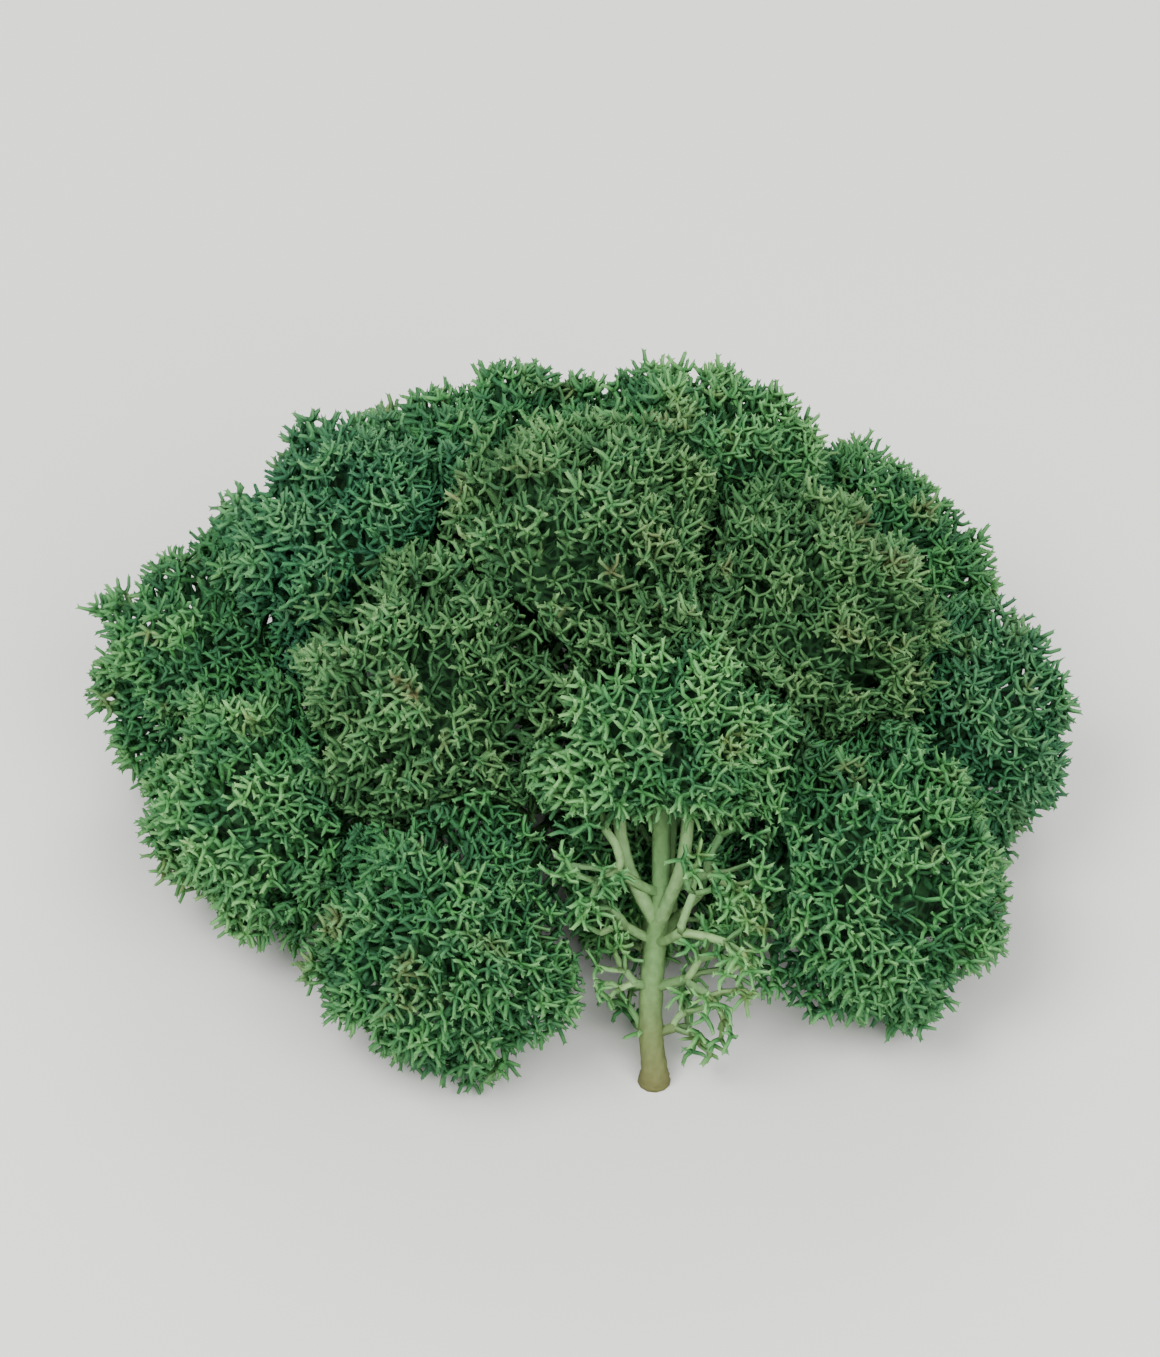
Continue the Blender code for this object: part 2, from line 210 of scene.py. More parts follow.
@dataclass(frozen=True)
class Room:
    """The space that one podetium has to itself, bounded by walls.

    A point p is inside where normal . p is at most the offset plus the wall's swell there, for every wall.
    The two podetia at a wall swell by opposite amounts, so that their branchlets interlock and never cross.
    """

    normals: Array
    offsets: Array
    signs: Array
    swell: float
    swell_waves: tuple[Triple, ...]

    def wave(self, points: Array) -> Array:
        """How far a wall swells at points: the swell times the mean of sines of the place, one a wave."""
        return self.swell * np.sin(points @ np.array(self.swell_waves).T).mean(axis=-1)

    def keep_inside(self, points: Array, clearance: Array | float) -> Array:
        """Moves points that are past a wall straight back to it, wall after wall and twice over.

        Args:
            points: Any array whose last axis holds x, y and z.
            clearance: How far from the walls the points stay.

        Returns:
            The points, moved where they had to be.
        """
        for normal, offset, sign in [*zip(self.normals, self.offsets, self.signs)] * 2:
            past = np.maximum(points @ normal - offset - sign * self.wave(points) + clearance, 0)
            points = points - past[..., None] * normal
        return points

    def holds(self, points: Array, clearance: float) -> Array:
        """Which points are inside and at least the clearance from every wall."""
        swell = self.signs * self.wave(points)[..., None]
        return (points @ self.normals.T <= self.offsets + swell - clearance).all(axis=-1)

    def reach(self, start: Array, direction: Array, length: float, clearance: float) -> float:
        """How far one can go from a start along a direction before a wall.

        Args:
            start: Where the way starts.
            direction: Its direction, at length 1.
            length: The most that is wanted.
            clearance: How far from the walls the way ends.

        Returns:
            The length, or what the walls leave of it.
        """
        closing = self.normals @ direction
        room = self.offsets - clearance - self.normals @ start
        ways = np.where(closing > 1e-6, room / np.maximum(closing, 1e-6), np.inf)
        return float(min(length, ways.min()))


@dataclass
class Cushion:
    """The layout that the podetia share, with the same sizes as in the CAD: where the heads are, where the
    stalks stand, the rooms that keep them apart and the hilly surface that the heads form together."""

    heads: tuple[Head, ...] = HEADS
    root: Triple = (0, 0, -15)
    half_gap: float = 0.17
    air_below: float = 0.6
    swell: float = 1.5
    swell_waves: tuple[Triple, ...] = ((0.61, 0.28, 0.37), (-0.33, 0.66, 0.24), (0.21, -0.38, 0.71))
    blend: float = 2.2
    inner_share: float = 0.62
    inner_end: float = -0.1
    lump: float = 0.06
    lump_waves: Triple = (5.1, 3.7, 4.3)

    # Painted shade: how much darker the valleys, the creases and the hollow are than their depth makes them
    valley_painted_shade: float = 1.3
    crease_painted_shade: float = 0.95
    hollow_painted_shade: float = 4.5
    hollow_top: Span = (16, 24)
    hollow_edge: Span = (0.5, 0.85)
    rim: Span = (34, 31)

    # The open podetium's own foot, room and lower head
    open_name: str = "open_podetium"
    open_foot: Triple = (3, -33, 0)
    open_room_middle: Triple = (4.5, -25, 19)
    open_room_angle: float = math.radians(18)
    lower_middle: Triple = (4.2, -17, 9.5)
    lower_radius: float = 10.5
    lower_share: float = 0.35

    # The tufts on the heads
    tuft_height: float = 3.0
    tuft_level: float = 0.85
    tuft_waves: tuple[Triple, ...] = (
        (0.38, 0.17, 0.12),
        (-0.16, 0.36, 0.21),
        (0.15, -0.26, 0.35),
        (0.26, 0.31, -0.19),
    )
    tuft_bends: tuple[Triple, ...] = (
        (-0.21, 0.35, 0.31),
        (0.37, 0.19, -0.22),
        (0.29, 0.33, 0.18),
        (-0.33, 0.24, 0.29),
    )

    def __post_init__(self) -> None:
        """Works out the feet, the stalks' directions and the middles of the rooms. The open podetium's lower
        head comes last in the lists of middles, radii, axes and turns."""
        root = np.array(self.root, float)
        self.middles = np.array([head.middle for head in self.heads], float)
        self.radii = np.array([head.radius for head in self.heads])
        self.turns = GOLDEN_ANGLE * np.arange(len(self.heads))
        from_root = self.middles - root
        self.feet = root + from_root * (-root[2] / from_root[:, 2:3])
        self.room_axes = unit(from_root)
        self.room_angles = np.arcsin(self.radii / np.linalg.norm(from_root, axis=1))
        i = [head.name for head in self.heads].index(self.open_name)
        self.feet[i] = self.open_foot
        self.room_axes[i] = unit(np.array(self.open_room_middle) - root)
        self.room_angles[i] = self.open_room_angle
        self.axes = unit(self.middles - self.feet)
        lower = np.array(self.lower_middle, float)
        start = self.feet[i] + (self.middles[i] - self.feet[i]) * self.lower_share
        self.axes = np.vstack((self.axes, unit(lower - start)))
        self.middles = np.vstack((self.middles, lower))
        self.radii = np.append(self.radii, self.lower_radius)
        self.turns = np.append(self.turns, self.turns[i])

    def room(self, number: int) -> Room:
        """The room of one podetium. Each wall passes through the root, between the middle directions of two
        rooms, and divides the angle between them as their half angles do.

        Args:
            number: The podetium's place in the list of heads.

        Returns:
            Its room, whose last wall is the surface that the clump rests on.
        """
        own = Vector(self.room_axes[number])
        normals = []
        others = [other for other in range(len(self.heads)) if other != number]
        for other in others:
            axis = Vector(self.room_axes[other])
            share = self.room_angles[number] / (self.room_angles[number] + self.room_angles[other])
            seam = own.slerp(axis, share)
            normals.append((axis - seam * seam.dot(axis)).normalized())
        normals = np.array([*normals, (0, 0, -1)], float)
        offsets = normals @ np.array(self.root, float) - self.half_gap
        offsets[-1] = -self.air_below
        signs = np.append(np.where(np.array(others) > number, 1.0, -1.0), 0.0)
        return Room(normals, offsets, signs, self.swell, self.swell_waves)

    def depths(self, points: Array) -> Line:
        """How far inside each head alone points are. A head alone is a lumpy ball, smaller towards its stalk.

        Args:
            points: Places, one a row.

        Returns:
            The depth in each head, a column for each, and the direction from each head's middle.
        """
        gaps = points[:, None] - self.middles
        distances = np.maximum(np.linalg.norm(gaps, axis=2), 1e-6)
        directions = gaps / distances[..., None]
        along = (directions * self.axes).sum(axis=2)
        shape = self.inner_share + (1 - self.inner_share) * smooth_step(-1.0, self.inner_end, along)
        lumps = 1 + self.lump * np.sin(directions @ np.array(self.lump_waves) + self.turns)
        return self.radii * shape * lumps - distances, directions

    def surface(self, points: Array) -> Line:
        """How far inside the cushion points are, and which way is out. The heads' depths are blended as the
        logarithm of the sum of their exponentials, which fills the valleys softly.

        Args:
            points: Places, one a row.

        Returns:
            The depth of each, below 0 outside, and the outward direction there.
        """
        depths, directions = self.depths(points)
        deepest = depths.max(axis=1, keepdims=True)
        weights = np.exp((depths - deepest) / self.blend)
        depth = deepest[:, 0] + self.blend * np.log(weights.sum(axis=1))
        return depth, unit((weights[..., None] * directions).sum(axis=1))

    def painted_shade(self, points: Array) -> Array:
        """How much painted shade points get: their depth, and more of it in the valleys between heads, by as
        much as the blend fills them there, and in the creases. The hollow under the heads gets painted shade
        of its own.

        Args:
            points: Places, one a row.

        Returns:
            The painted shade of each.
        """
        depth = self.surface(points)[0]
        valley = self.valley_painted_shade * (depth - self.depths(points)[0].max(axis=1))
        crease = self.crease_painted_shade * self.crease(points)
        return np.maximum(depth + valley + crease, self.hollow_painted_shade * self.hollow(points))

    def hollow(self, points: Array) -> Array:
        """How far points are in the hollow among the stalks, from 0 at its oval rim or top to 1 within."""
        rim = np.linalg.norm(points[:, :2] / np.array(self.rim), axis=1)
        return (1 - smooth_step(*self.hollow_edge, rim)) * (1 - smooth_step(*self.hollow_top, points[:, 2]))

    def crease(self, points: Array) -> Array:
        """How far the surface sinks between small tufts.

        The tufts are where bent waves cross: each wave is the size of a sine, rounded on top and sharp where
        it reaches 0, and the crease is twice what their mean lacks of the tufts' level.

        Args:
            points: Places, one a row.

        Returns:
            The depth of the crease at each.
        """
        bends = np.sin(points @ np.array(self.tuft_bends).T)
        waves = np.abs(np.sin(points @ np.array(self.tuft_waves).T + bends))
        return self.tuft_height * np.maximum(self.tuft_level - waves.mean(axis=1), 0) * 2


class Strands:
    """Gathers round, tapering strands and makes one mesh of them. Rings of points stand square to a strand's
    middle line. A flat face closes the first ring, and a fan to a pole closes the last."""

    def __init__(self) -> None:
        """Starts with no strands."""
        self.points: list[Array] = []
        self.faces: list[Array] = []
        self.marks: dict[Mark, list[Array]] = {mark: [] for mark in CORE_MARKS}
        self.count = 0

    def add(self, line: Line, radii: Array, sides: int, poles: Array, marks: Marks) -> None:
        """Adds a batch of strands that have the same number of rings and sides.

        Args:
            line: The middle of each ring of each strand, and the strand's direction there.
            radii: The radius of each ring.
            sides: How many points a ring has.
            poles: The pole of each strand.
            marks: The tip, shade and bare marks of each ring and of the pole.
        """
        middles, tangents = line
        first, _ = across_pair(tangents.mean(axis=1))
        first = unit(first[:, None] - tangents * (first[:, None] * tangents).sum(-1, keepdims=True))
        second = np.cross(tangents, first)
        angles = 2 * math.pi * np.arange(sides) / sides
        spokes = first[:, :, None] * np.cos(angles)[:, None] + second[:, :, None] * np.sin(angles)[:, None]
        rings = middles[:, :, None] + spokes * radii[:, :, None, None]
        number, rows = radii.shape
        self.add_faces(number, rows, sides)
        points = np.concatenate((rings.reshape(number, -1, 3), poles[:, None]), axis=1)
        self.points.append(points.reshape(-1, 3))
        self.count += len(self.points[-1])
        for gathered, mark in zip(self.marks.values(), marks):
            values = np.broadcast_to(mark, (number, rows + 1))
            gathered.append(np.hstack((np.repeat(values[:, :-1], sides, axis=1), values[:, -1:])).ravel())

    def add_faces(self, number: int, rows: int, sides: int) -> None:
        """Adds the faces of a batch: quads between the rings, the fan at the pole and the flat start.

        Args:
            number: How many strands the batch has.
            rows: How many rings each has.
            sides: How many points a ring has.
        """
        first = self.count + (rows * sides + 1) * np.arange(number)[:, None]
        side = np.arange(sides)
        turned = (side + 1) % sides
        row = sides * np.arange(rows - 1)[:, None]
        quads = np.stack((row + side, row + turned, row + sides + turned, row + sides + side), axis=-1)
        last = (rows - 1) * sides
        fan = np.stack((last + side, last + turned, np.full(sides, rows * sides)), axis=-1)
        self.faces.append((first[:, :, None] + quads.reshape(1, -1, 4)).reshape(-1, 4))
        self.faces.append((first[:, :, None] + fan.reshape(1, -1, 3)).reshape(-1, 3))
        self.faces.append(first + side[::-1])

    def add_core(self, points: Array, faces: Array) -> None:
        """Adds a closed body of triangles, which has the core's own marks.

        Args:
            points: Its points.
            faces: The numbers of each triangle's points.
        """
        self.faces.append(self.count + faces)
        self.points.append(points)
        self.count += len(points)
        for mark, gathered in self.marks.items():
            gathered.append(np.full(len(points), CORE_MARKS[mark]))

    def mesh(self, name: str, cushion: Cushion) -> bpy.types.Mesh:
        """Makes the mesh in metres, with its marks.

        Args:
            name: The mesh's name.
            cushion: The layout, which gives each point's painted shade.

        Returns:
            The closed and smooth mesh of all the strands.
        """
        points = np.concatenate(self.points)
        corners = np.concatenate([face.ravel() for face in self.faces])
        sizes = np.concatenate([np.full(len(face), face.shape[1]) for face in self.faces])
        starts = np.concatenate(((0,), np.cumsum(sizes)[:-1]))
        mesh = bpy.data.meshes.new(name)
        mesh.vertices.add(len(points))
        mesh.vertices.foreach_set("co", (points * MM).astype(np.float32).ravel())
        mesh.loops.add(len(corners))
        mesh.loops.foreach_set("vertex_index", corners.astype(np.int32))
        mesh.polygons.add(len(sizes))
        mesh.polygons.foreach_set("loop_start", starts.astype(np.int32))
        mesh.update(calc_edges=True)
        mesh.shade_smooth()
        values = {mark: np.concatenate(gathered) for mark, gathered in self.marks.items()}
        values[Mark.PAINTED_SHADE] = cushion.painted_shade(points)
        for mark, value in values.items():
            attribute = mesh.attributes.new(mark.value, "FLOAT", "POINT")
            attribute.data.foreach_set("value", value.astype(np.float32))
        return mesh

    def triangles(self) -> int:
        """How many triangles the faces come to."""
        return int(sum(len(face) * (face.shape[1] - 2) for face in self.faces))


@dataclass(frozen=True)
class Crown:
    """A rounded head of strands: its middle, radius and outward axis, and where its strands fan out from."""

    middle: Array
    radius: float
    axis: Array
    base: Array


@dataclass
class Skeleton:
    """Where strands fork or end, each place with the one that it grew from. The foot has no parent, -1."""

    places: list[Array] = field(default_factory=list)
    parents: list[int] = field(default_factory=list)
    bare: list[float] = field(default_factory=list)
    feeds: list[int] = field(default_factory=list)
    made: list[bool] = field(default_factory=list)

    def add(self, place: Array, parent: int, bare: float, feeds: int = -1, made: bool = False) -> int:
        """Adds a place.

        Args:
            place: Where it is.
            parent: The number of the place that it grew from.
            bare: How much it is bare stalk, from 0 to 1.
            feeds: The number of the crown whose strands may grow from it, or -1.
            made: Whether the way to it is made with the stalk and its limbs.

        Returns:
            The new place's number.
        """
        self.places.append(np.asarray(place, float))
        self.parents.append(parent)
        self.bare.append(bare)
        self.feeds.append(feeds)
        self.made.append(made)
        return len(self.places) - 1


@dataclass(frozen=True)
class Forks:
    """All the places where strands fork or end, with the foot first: where they are, the numbers of those
    that they grew from, how much they are bare stalk, which belong to the stalk and its limbs, and how many
    come before the old branchlets, which have no prongs."""

    places: Array
    parents: Array
    bare: Array
    made: Array
    grown: int


@dataclass
class Podetium:
    """One podetium, from its cut foot to the tips of its branchlets."""

    cushion: Cushion
    number: int

    # The stalk and its limbs, as in the CAD
    stalk_radius: float = 1.12
    stalk_end_radius: float = 0.8
    stalk_end_share: float = 0.2
    stalk_sway: float = 0.45
    sway_wave: float = 7
    stalk_rings: int = 6
    stalk_sides: int = 12
    foot_radius: float = 1.5
    foot_height: float = 1.6
    flare_height: float = 3.2
    upright_height: float = 4.0
    fork_share: float = 0.5
    limbs: int = 3
    limb_rings: int = 5
    limb_sides: int = 8
    limb_radius: float = 0.72
    limb_end_radius: float = 0.5
    limb_bend: Span = (0.4, 0.24)
    limb_end: Span = (0.1, 0.3)
    lower_base: float = 3
    lower_lift: float = 0.5
    unevenness: Span = (0.94, 1.06)

    # How bare they are, where the way to a place starts and ends. In a closed clump the stalk is less bare.
    closed_bare: float = 0.4
    limb_bareness: float = 0.8
    end_bare: float = 0.7
    limb_bare: Span = (0.8, 0.4)
    lower_bare: Span = (0.6, 0.3)
    twig_bare: Span = (0.9, 0.6)
    spray_bare: float = 0.25

    # The open podetium's whorls: share of the way up, limbs, rise and turn in degrees
    whorls: tuple[tuple[float, int, float, float], ...] = (
        (0.14, 2, 0.3, -50),
        (0.28, 3, 0.35, -80),
        (0.42, 3, 0.42, 120),
        (0.56, 3, 0.54, 160),
    )
    whorl_limb: float = 0.85
    whorl_clearance: float = 2.2
    twigs: int = 3
    twig_start: float = 0.5
    twig_length: float = 0.4
    twig_spread: float = 0.9
    twig_clearance: float = 0.9
    sprays: int = 3
    spray_lengths: Span = (2.3, 1.8)
    spray_spread: Span = (0.6, 1.2)
    spray_stretch: Span = (0.75, 1.2)
    spray_clearance: float = 0.6
    spray_floor: float = 2.2

    # What keeps the open stalk in view
    open_below: float = -0.42
    open_size: float = 0.9
    window: float = 3.2
    window_top: float = 0.72
    most_lift: float = 2.0
    viewer: Triple = (-0.08, -0.74, 0.67)
    clear_view: float = 2.6
    collar_view: float = 1.2
    collar_height: float = 9.0

    # The forks: how far apart they are near the surface and deep inside, and how deep the last are
    near_gap: float = 1.19
    deep_gap: float = 2.75
    hidden_gap: float = 2.3
    gap_depths: Span = (2.1, 4.9)
    hidden_from: Triple = (0, 0, -6)
    hidden_span: Span = (-0.7, -0.1)
    scatter_reach: float = 1.35
    crowding: float = 1.02
    core_overlap: float = 1
    end_depth: float = 1.1
    end_depth_spread: float = 0.5
    wall_clearance: float = 0.35
    settling_steps: int = 14
    push: float = 0.28
    most_push: float = 3
    closer: float = 0.3
    turn_cost: float = 1.3

    # The old branchlets on the stalks, in the hollow under the heads
    old_gap: float = 2.3
    old_shift: float = 0.4
    old_floor: float = 1.4
    old_depth: float = 1
    old_share: float = 0.15
    old_bare: float = 0.35
    old_knots: Triple = (0.25, 0.5, 0.75)

    # The core in the middle of the head: a lumpy body for the strands there, coloured dark as painted shade
    core_depth: float = 5.9
    core_lump: float = 0.7
    core_waves: Triple = (9, 7, 8)
    core_clearance: float = 0.12
    core_reach: float = 1.3
    core_least: float = 0.5
    core_detail: int = 3
    halvings: int = 14

    # The strands: an end's radius, how the radius grows with the ends that a strand carries, and their bends
    end_radius: float = 0.27
    bare_radius: float = 0.54
    carry_power: float = 0.19
    thick_radius: float = 0.36
    thick_shares: tuple[float, ...] = (0.0, 0.25, 0.62, 1.0)
    thin_shares: tuple[float, ...] = (0.0, 0.45, 1.0)
    swollen: float = 1.5
    narrower: float = 0.95
    strand_unevenness: Span = (0.93, 1.07)
    strand_margin: float = 0.02
    strand_cap: float = 0.6
    blunt_cap: float = 0.5
    pull: float = 0.36
    outward_pull: float = 0.75
    drift: float = 0.25
    leave_back: float = 0.35
    leave_drift: float = 0.2

    # Which forks carry a whorl besides the ends, and how many prongs each has. The last number isn't reached.
    near_margin: float = 0.5
    near_bare: float = 0.3
    prong_counts: tuple[int, int] = (3, 5)
    side_prongs: tuple[int, int] = (1, 3)

    # The prongs of a whorl, whose length has three parts between the curve's control points
    whorl_outward: float = 0.5
    prong_length: float = 1.6
    prong_lengths: Span = (0.7, 1.2)
    prong_parts: Triple = (0.36, 0.34, 0.34)
    prong_radius: float = 0.22
    prong_base: float = 1.15
    prong_taper: float = 0.3
    prong_unevenness: Span = (0.9, 1.12)
    prong_margin: float = 0.8
    prong_lean: Span = (0.65, 1.2)
    prong_curl: float = 0.42
    prong_curls: Span = (0.3, 1.5)
    prong_twist: float = 0.75
    early_twist: float = 0.5
    prong_sink: float = 0.12
    prong_drift: float = 0.25
    prong_shares: tuple[float, ...] = (0.0, 0.5, 1.0)
    hidden_shares: tuple[float, ...] = (0.0, 0.6)
    shade_drift: float = 0.15
    shown_depth: float = 1.75

    # Their split tips
    tip_length: float = 0.46
    tip_lengths: Span = (0.65, 1.2)
    tip_radius: float = 0.14
    tip_radii: Span = (0.95, 1.3)
    tip_spread: float = 0.8
    tip_spreads: Span = (0.7, 1.3)
    tip_margin: float = 0.3
    tip_sink: float = 0.1
    tip_from: float = 0.65

    def __post_init__(self) -> None:
        """Takes the podetium's own place and room from the cushion."""
        cushion, number = self.cushion, self.number
        self.head = cushion.heads[number]
        self.middle = cushion.middles[number]
        self.foot = cushion.feet[number]
        self.axis = cushion.axes[number]
        self.turn = float(cushion.turns[number])
        self.room = cushion.room(number)
        self.is_open = self.head.name == cushion.open_name
        self.rng = np.random.default_rng(SEED + number)
        self.skeleton = Skeleton()
        self.limb_paths: list[tuple[int, int, int]] = []
        self.strands = Strands()
        self.end = self.middle - self.axis * (self.head.radius * self.stalk_end_share)
        self.crowns = [Crown(self.middle, self.head.radius, self.axis, self.end)]
        if self.is_open:
            lower, axis = cushion.middles[-1], cushion.axes[-1]
            self.crowns.append(Crown(lower, cushion.radii[-1], axis, lower - axis * self.lower_base))

    def build(self) -> bpy.types.Object:
        """Grows the podetium and makes its object.

        Returns:
            The object, which stands for the CAD node.
        """
        self.grow_skeleton()
        scattered = self.settle(self.scatter())
        old = self.scatter_old()
        own = self.skeleton
        places = np.vstack((own.places, scattered, old))
        grown = len(places) - len(old)
        parents = np.concatenate((own.parents, self.link(scattered), self.link_old(old, grown)))
        bare = np.concatenate((own.bare, np.zeros(len(scattered)), np.full(len(old), self.old_bare)))
        made = np.concatenate((own.made, np.zeros(len(places) - len(own.made), bool)))
        self.forks = Forks(places, parents, bare, made, grown)
        for crown in self.crowns:
            self.add_core(crown)
        self.add_stalk()
        self.add_strands()
        mesh = self.strands.mesh(self.head.name + "_strands", self.cushion)
        piece = bpy.data.objects.new(self.head.name + "_fine", mesh)
        bpy.context.scene.collection.objects.link(piece)
        return piece

    def sides_of(self, axis: Array, count: int, turn: float) -> list[Array]:
        """Directions square to an axis and spread evenly round it, as in the CAD.

        Args:
            axis: The axis, at length 1.
            count: How many directions there are.
            turn: The angle of the first.

        Returns:
            The directions.
        """
        across = Vector(axis).orthogonal().normalized()
        other = Vector(axis).cross(across)
        angles = [turn + 2 * math.pi * k / count for k in range(count)]
        return [np.array(across * math.cos(a) + other * math.sin(a)) for a in angles]

    def depth_at(self, points: Array) -> Line:
        """How far inside the tufted surface points are, and which way is out."""
        depth, outward = self.cushion.surface(points)
        return depth - self.cushion.crease(points), outward

    def grow_skeleton(self) -> None:
        """Grows the stalk, the limbs under the head and, on the open podetium, its whorls of limbs. Each of
        their forks comes after the one that it grew from."""
        skeleton = self.skeleton
        way = self.middle - self.foot
        fork_at = self.fork_share * np.linalg.norm(self.end - self.foot) / np.linalg.norm(way)
        whorls = {whorl[0]: whorl for whorl in self.whorls} if self.is_open else {}
        knots = whorls or [fork_at * share for share in self.old_knots]
        self.stalk = [skeleton.add(self.foot, -1, 1.0, made=True)]
        sway = self.sides_of(self.axis, 2, self.turn)[0] * self.stalk_sway
        for share in sorted((fork_at, *knots)):
            feeds = 0 if share == fork_at else -1
            place = self.foot + way * share + sway * math.sin(self.sway_wave * share)
            self.stalk.append(skeleton.add(place, self.stalk[-1], 1.0, feeds, made=True))
            if share == fork_at:
                self.fork = self.stalk[-1]
        self.stalk.append(skeleton.add(self.end, self.stalk[-1], self.end_bare, 0, made=True))
        self.grow_limbs()
        between = [number for number in self.stalk[1:-1] if number != self.fork]
        for number, whorl in zip(between, whorls.values()):
            self.grow_whorl(number, whorl)

    def grow_limbs(self) -> None:
        """Adds the limbs that leave the stalk at its fork and spread into the head, and the one that carries
        the open podetium's lower head."""
        skeleton, size = self.skeleton, self.head.radius
        start = skeleton.places[self.fork]
        for side in self.sides_of(self.axis, self.limbs, self.turn):
            bend = start + (self.middle - start) * self.limb_bend[0] + side * (size * self.limb_bend[1])
            stop = self.middle - self.axis * (size * self.limb_end[0]) + side * (size * self.limb_end[1])
            lower = skeleton.add(bend, self.fork, self.limb_bare[0], 0, made=True)
            upper = skeleton.add(stop, lower, self.limb_bare[1], 0, made=True)
            self.limb_paths.append((self.fork, lower, upper))
        for crown_number, crown in enumerate(self.crowns[1:], 1):
            start = self.stalk[2]
            middle = (skeleton.places[start] + crown.base) / 2 + crown.axis * self.lower_lift
            lower = skeleton.add(middle, start, self.lower_bare[0], -1, made=True)
            upper = skeleton.add(crown.base, lower, self.lower_bare[1], crown_number, made=True)
            self.limb_paths.append((start, lower, upper))

    def grow_whorl(self, start: int, whorl: tuple[float, int, float, float]) -> None:
        """Adds a whorl of limbs to the bare stalk. Each limb forks into twigs, and each twig into sprays.

        Args:
            start: The number of the place on the stalk.
            whorl: Its share of the way up, its number of limbs, their rise and their turn in degrees.
        """
        _, count, rise, turn = whorl
        skeleton = self.skeleton
        base = skeleton.places[start]
        for side in self.sides_of(self.axis, count, math.radians(turn)):
            out = unit(side + self.axis * rise)
            length = self.room.reach(base, out, self.head.radius * self.whorl_limb, self.whorl_clearance)
            limb = skeleton.add(base + out * (length * self.twig_start), start, self.twig_bare[0])
            for twig_side in self.sides_of(out, self.twigs, self.rng.uniform(0, math.pi)):
                way = unit(twig_side * self.twig_spread + out)
                twig_end = skeleton.places[limb] + way * (length * self.twig_length)
                if self.room.holds(twig_end, self.twig_clearance) and not self.spoils_view(twig_end):
                    self.grow_spray(skeleton.add(twig_end, limb, self.twig_bare[1]), way, 0)

    def grow_spray(self, start: int, way: Array, level: int) -> None:
        """Forks a twig again and again, until the spray's lengths are used up.

        Args:
            start: The number of the place that forks.
            way: The direction in which it grew.
            level: How many forks came before.
        """
        if level == len(self.spray_lengths):
            return
        for side in self.sides_of(way, self.sprays, self.rng.uniform(0, math.pi)):
            on = unit(side * self.rng.uniform(*self.spray_spread) + way)
            reach = self.spray_lengths[level] * self.rng.uniform(*self.spray_stretch)
            place = self.skeleton.places[start] + on * reach
            if self.room.holds(place, self.spray_clearance) and not self.spoils_view(place):
                fork = self.skeleton.add(place, start, self.spray_bare * (1 - level))
                self.grow_spray(fork, on, level + 1)

    def spoils_view(self, place: Array) -> bool:
        """Tells whether a place is too low, or in front of the open stalk as seen by the viewer.

        Args:
            place: The place.

        Returns:
            Whether nothing should grow there.
        """
        way = self.end - self.foot
        off = place - self.foot - way * np.clip((place - self.foot) @ way / (way @ way), 0, 1)
        ahead = float(off @ np.array(self.viewer))
        clear = self.clear_view if place[2] > self.collar_height else self.collar_view
        return place[2] < self.spray_floor or (ahead > 0 and float(off @ off) - ahead**2 < clear**2)

    def gap_at(self, depth: Array, points: Array, outward: Array) -> Array:
        """How far apart the forks are: close together near the surface that shows, and further apart deep
        inside and where the surface faces the clump's own middle or the ground.

        Args:
            depth: How far inside the cushion each point is.
            points: The points.
            outward: The outward direction at each.

        Returns:
            The gap at each point.
        """
        gap = self.near_gap + (self.deep_gap - self.near_gap) * smooth_step(*self.gap_depths, depth)
        away = unit(points - np.array(self.hidden_from, float))
        hidden = 1 - smooth_step(*self.hidden_span, (outward * away).sum(axis=1))
        return np.maximum(gap, self.near_gap + (self.hidden_gap - self.near_gap) * hidden)

    def crown_of(self, points: Array) -> Array:
        """The number of the crown that each point belongs to: the one that it is deepest in."""
        depths = [crown.radius - np.linalg.norm(points - crown.middle, axis=1) for crown in self.crowns]
        return np.argmax(depths, axis=0)

    def scatter(self) -> Array:
        """Random places through the crowns' share of the cushion, more of them where the gap is small.

        Returns:
            The places, one a row.
        """
        found = []
        for number, crown in enumerate(self.crowns):
            reach = crown.radius * self.scatter_reach
            count = int(BALL_VOLUME * reach**3 * self.crowding / self.near_gap**3)
            away = unit(self.rng.normal(size=(count, 3)))
            points = crown.middle + away * (reach * self.rng.uniform(0, 1, (count, 1)) ** (1 / 3))
            points = points[self.crown_of(points) == number]
            depth, outward = self.depth_at(points)
            gap = self.gap_at(depth, points, outward)
            chosen = self.rng.uniform(0, 1, len(points)) < (self.near_gap / gap) ** 3
            chosen &= (depth > self.end_depth) & (depth < self.core_depth + self.core_overlap)
            found.append(points[chosen & self.room.holds(points, self.wall_clearance)])
        return self.clear_of_stalk(np.vstack(found))

    def clear_of_stalk(self, points: Array) -> Array:
        """Keeps the open podetium's bare stalk in view: moves places out of the window round it, and up from
        the underside of its crown. Other podetia's places stay as they are.

        Args:
            points: The places.

        Returns:
            The places, moved where they had to be.
        """
        if not self.is_open:
            return points
        way = self.middle - self.foot
        share = np.clip((points - self.foot) @ way / (way @ way), 0, self.window_top)
        off = points - self.foot - share[:, None] * way
        distance = np.linalg.norm(off, axis=1, keepdims=True)
        points = points + off / np.maximum(distance, 1e-6) * np.maximum(self.window - distance, 0)
        low = self.open_below * self.head.radius * self.open_size
        sunk = np.maximum(low - (points - self.middle) @ self.axis, 0) * (self.crown_of(points) == 0)
        return points + self.axis * np.minimum(sunk, self.most_lift)[:, None]

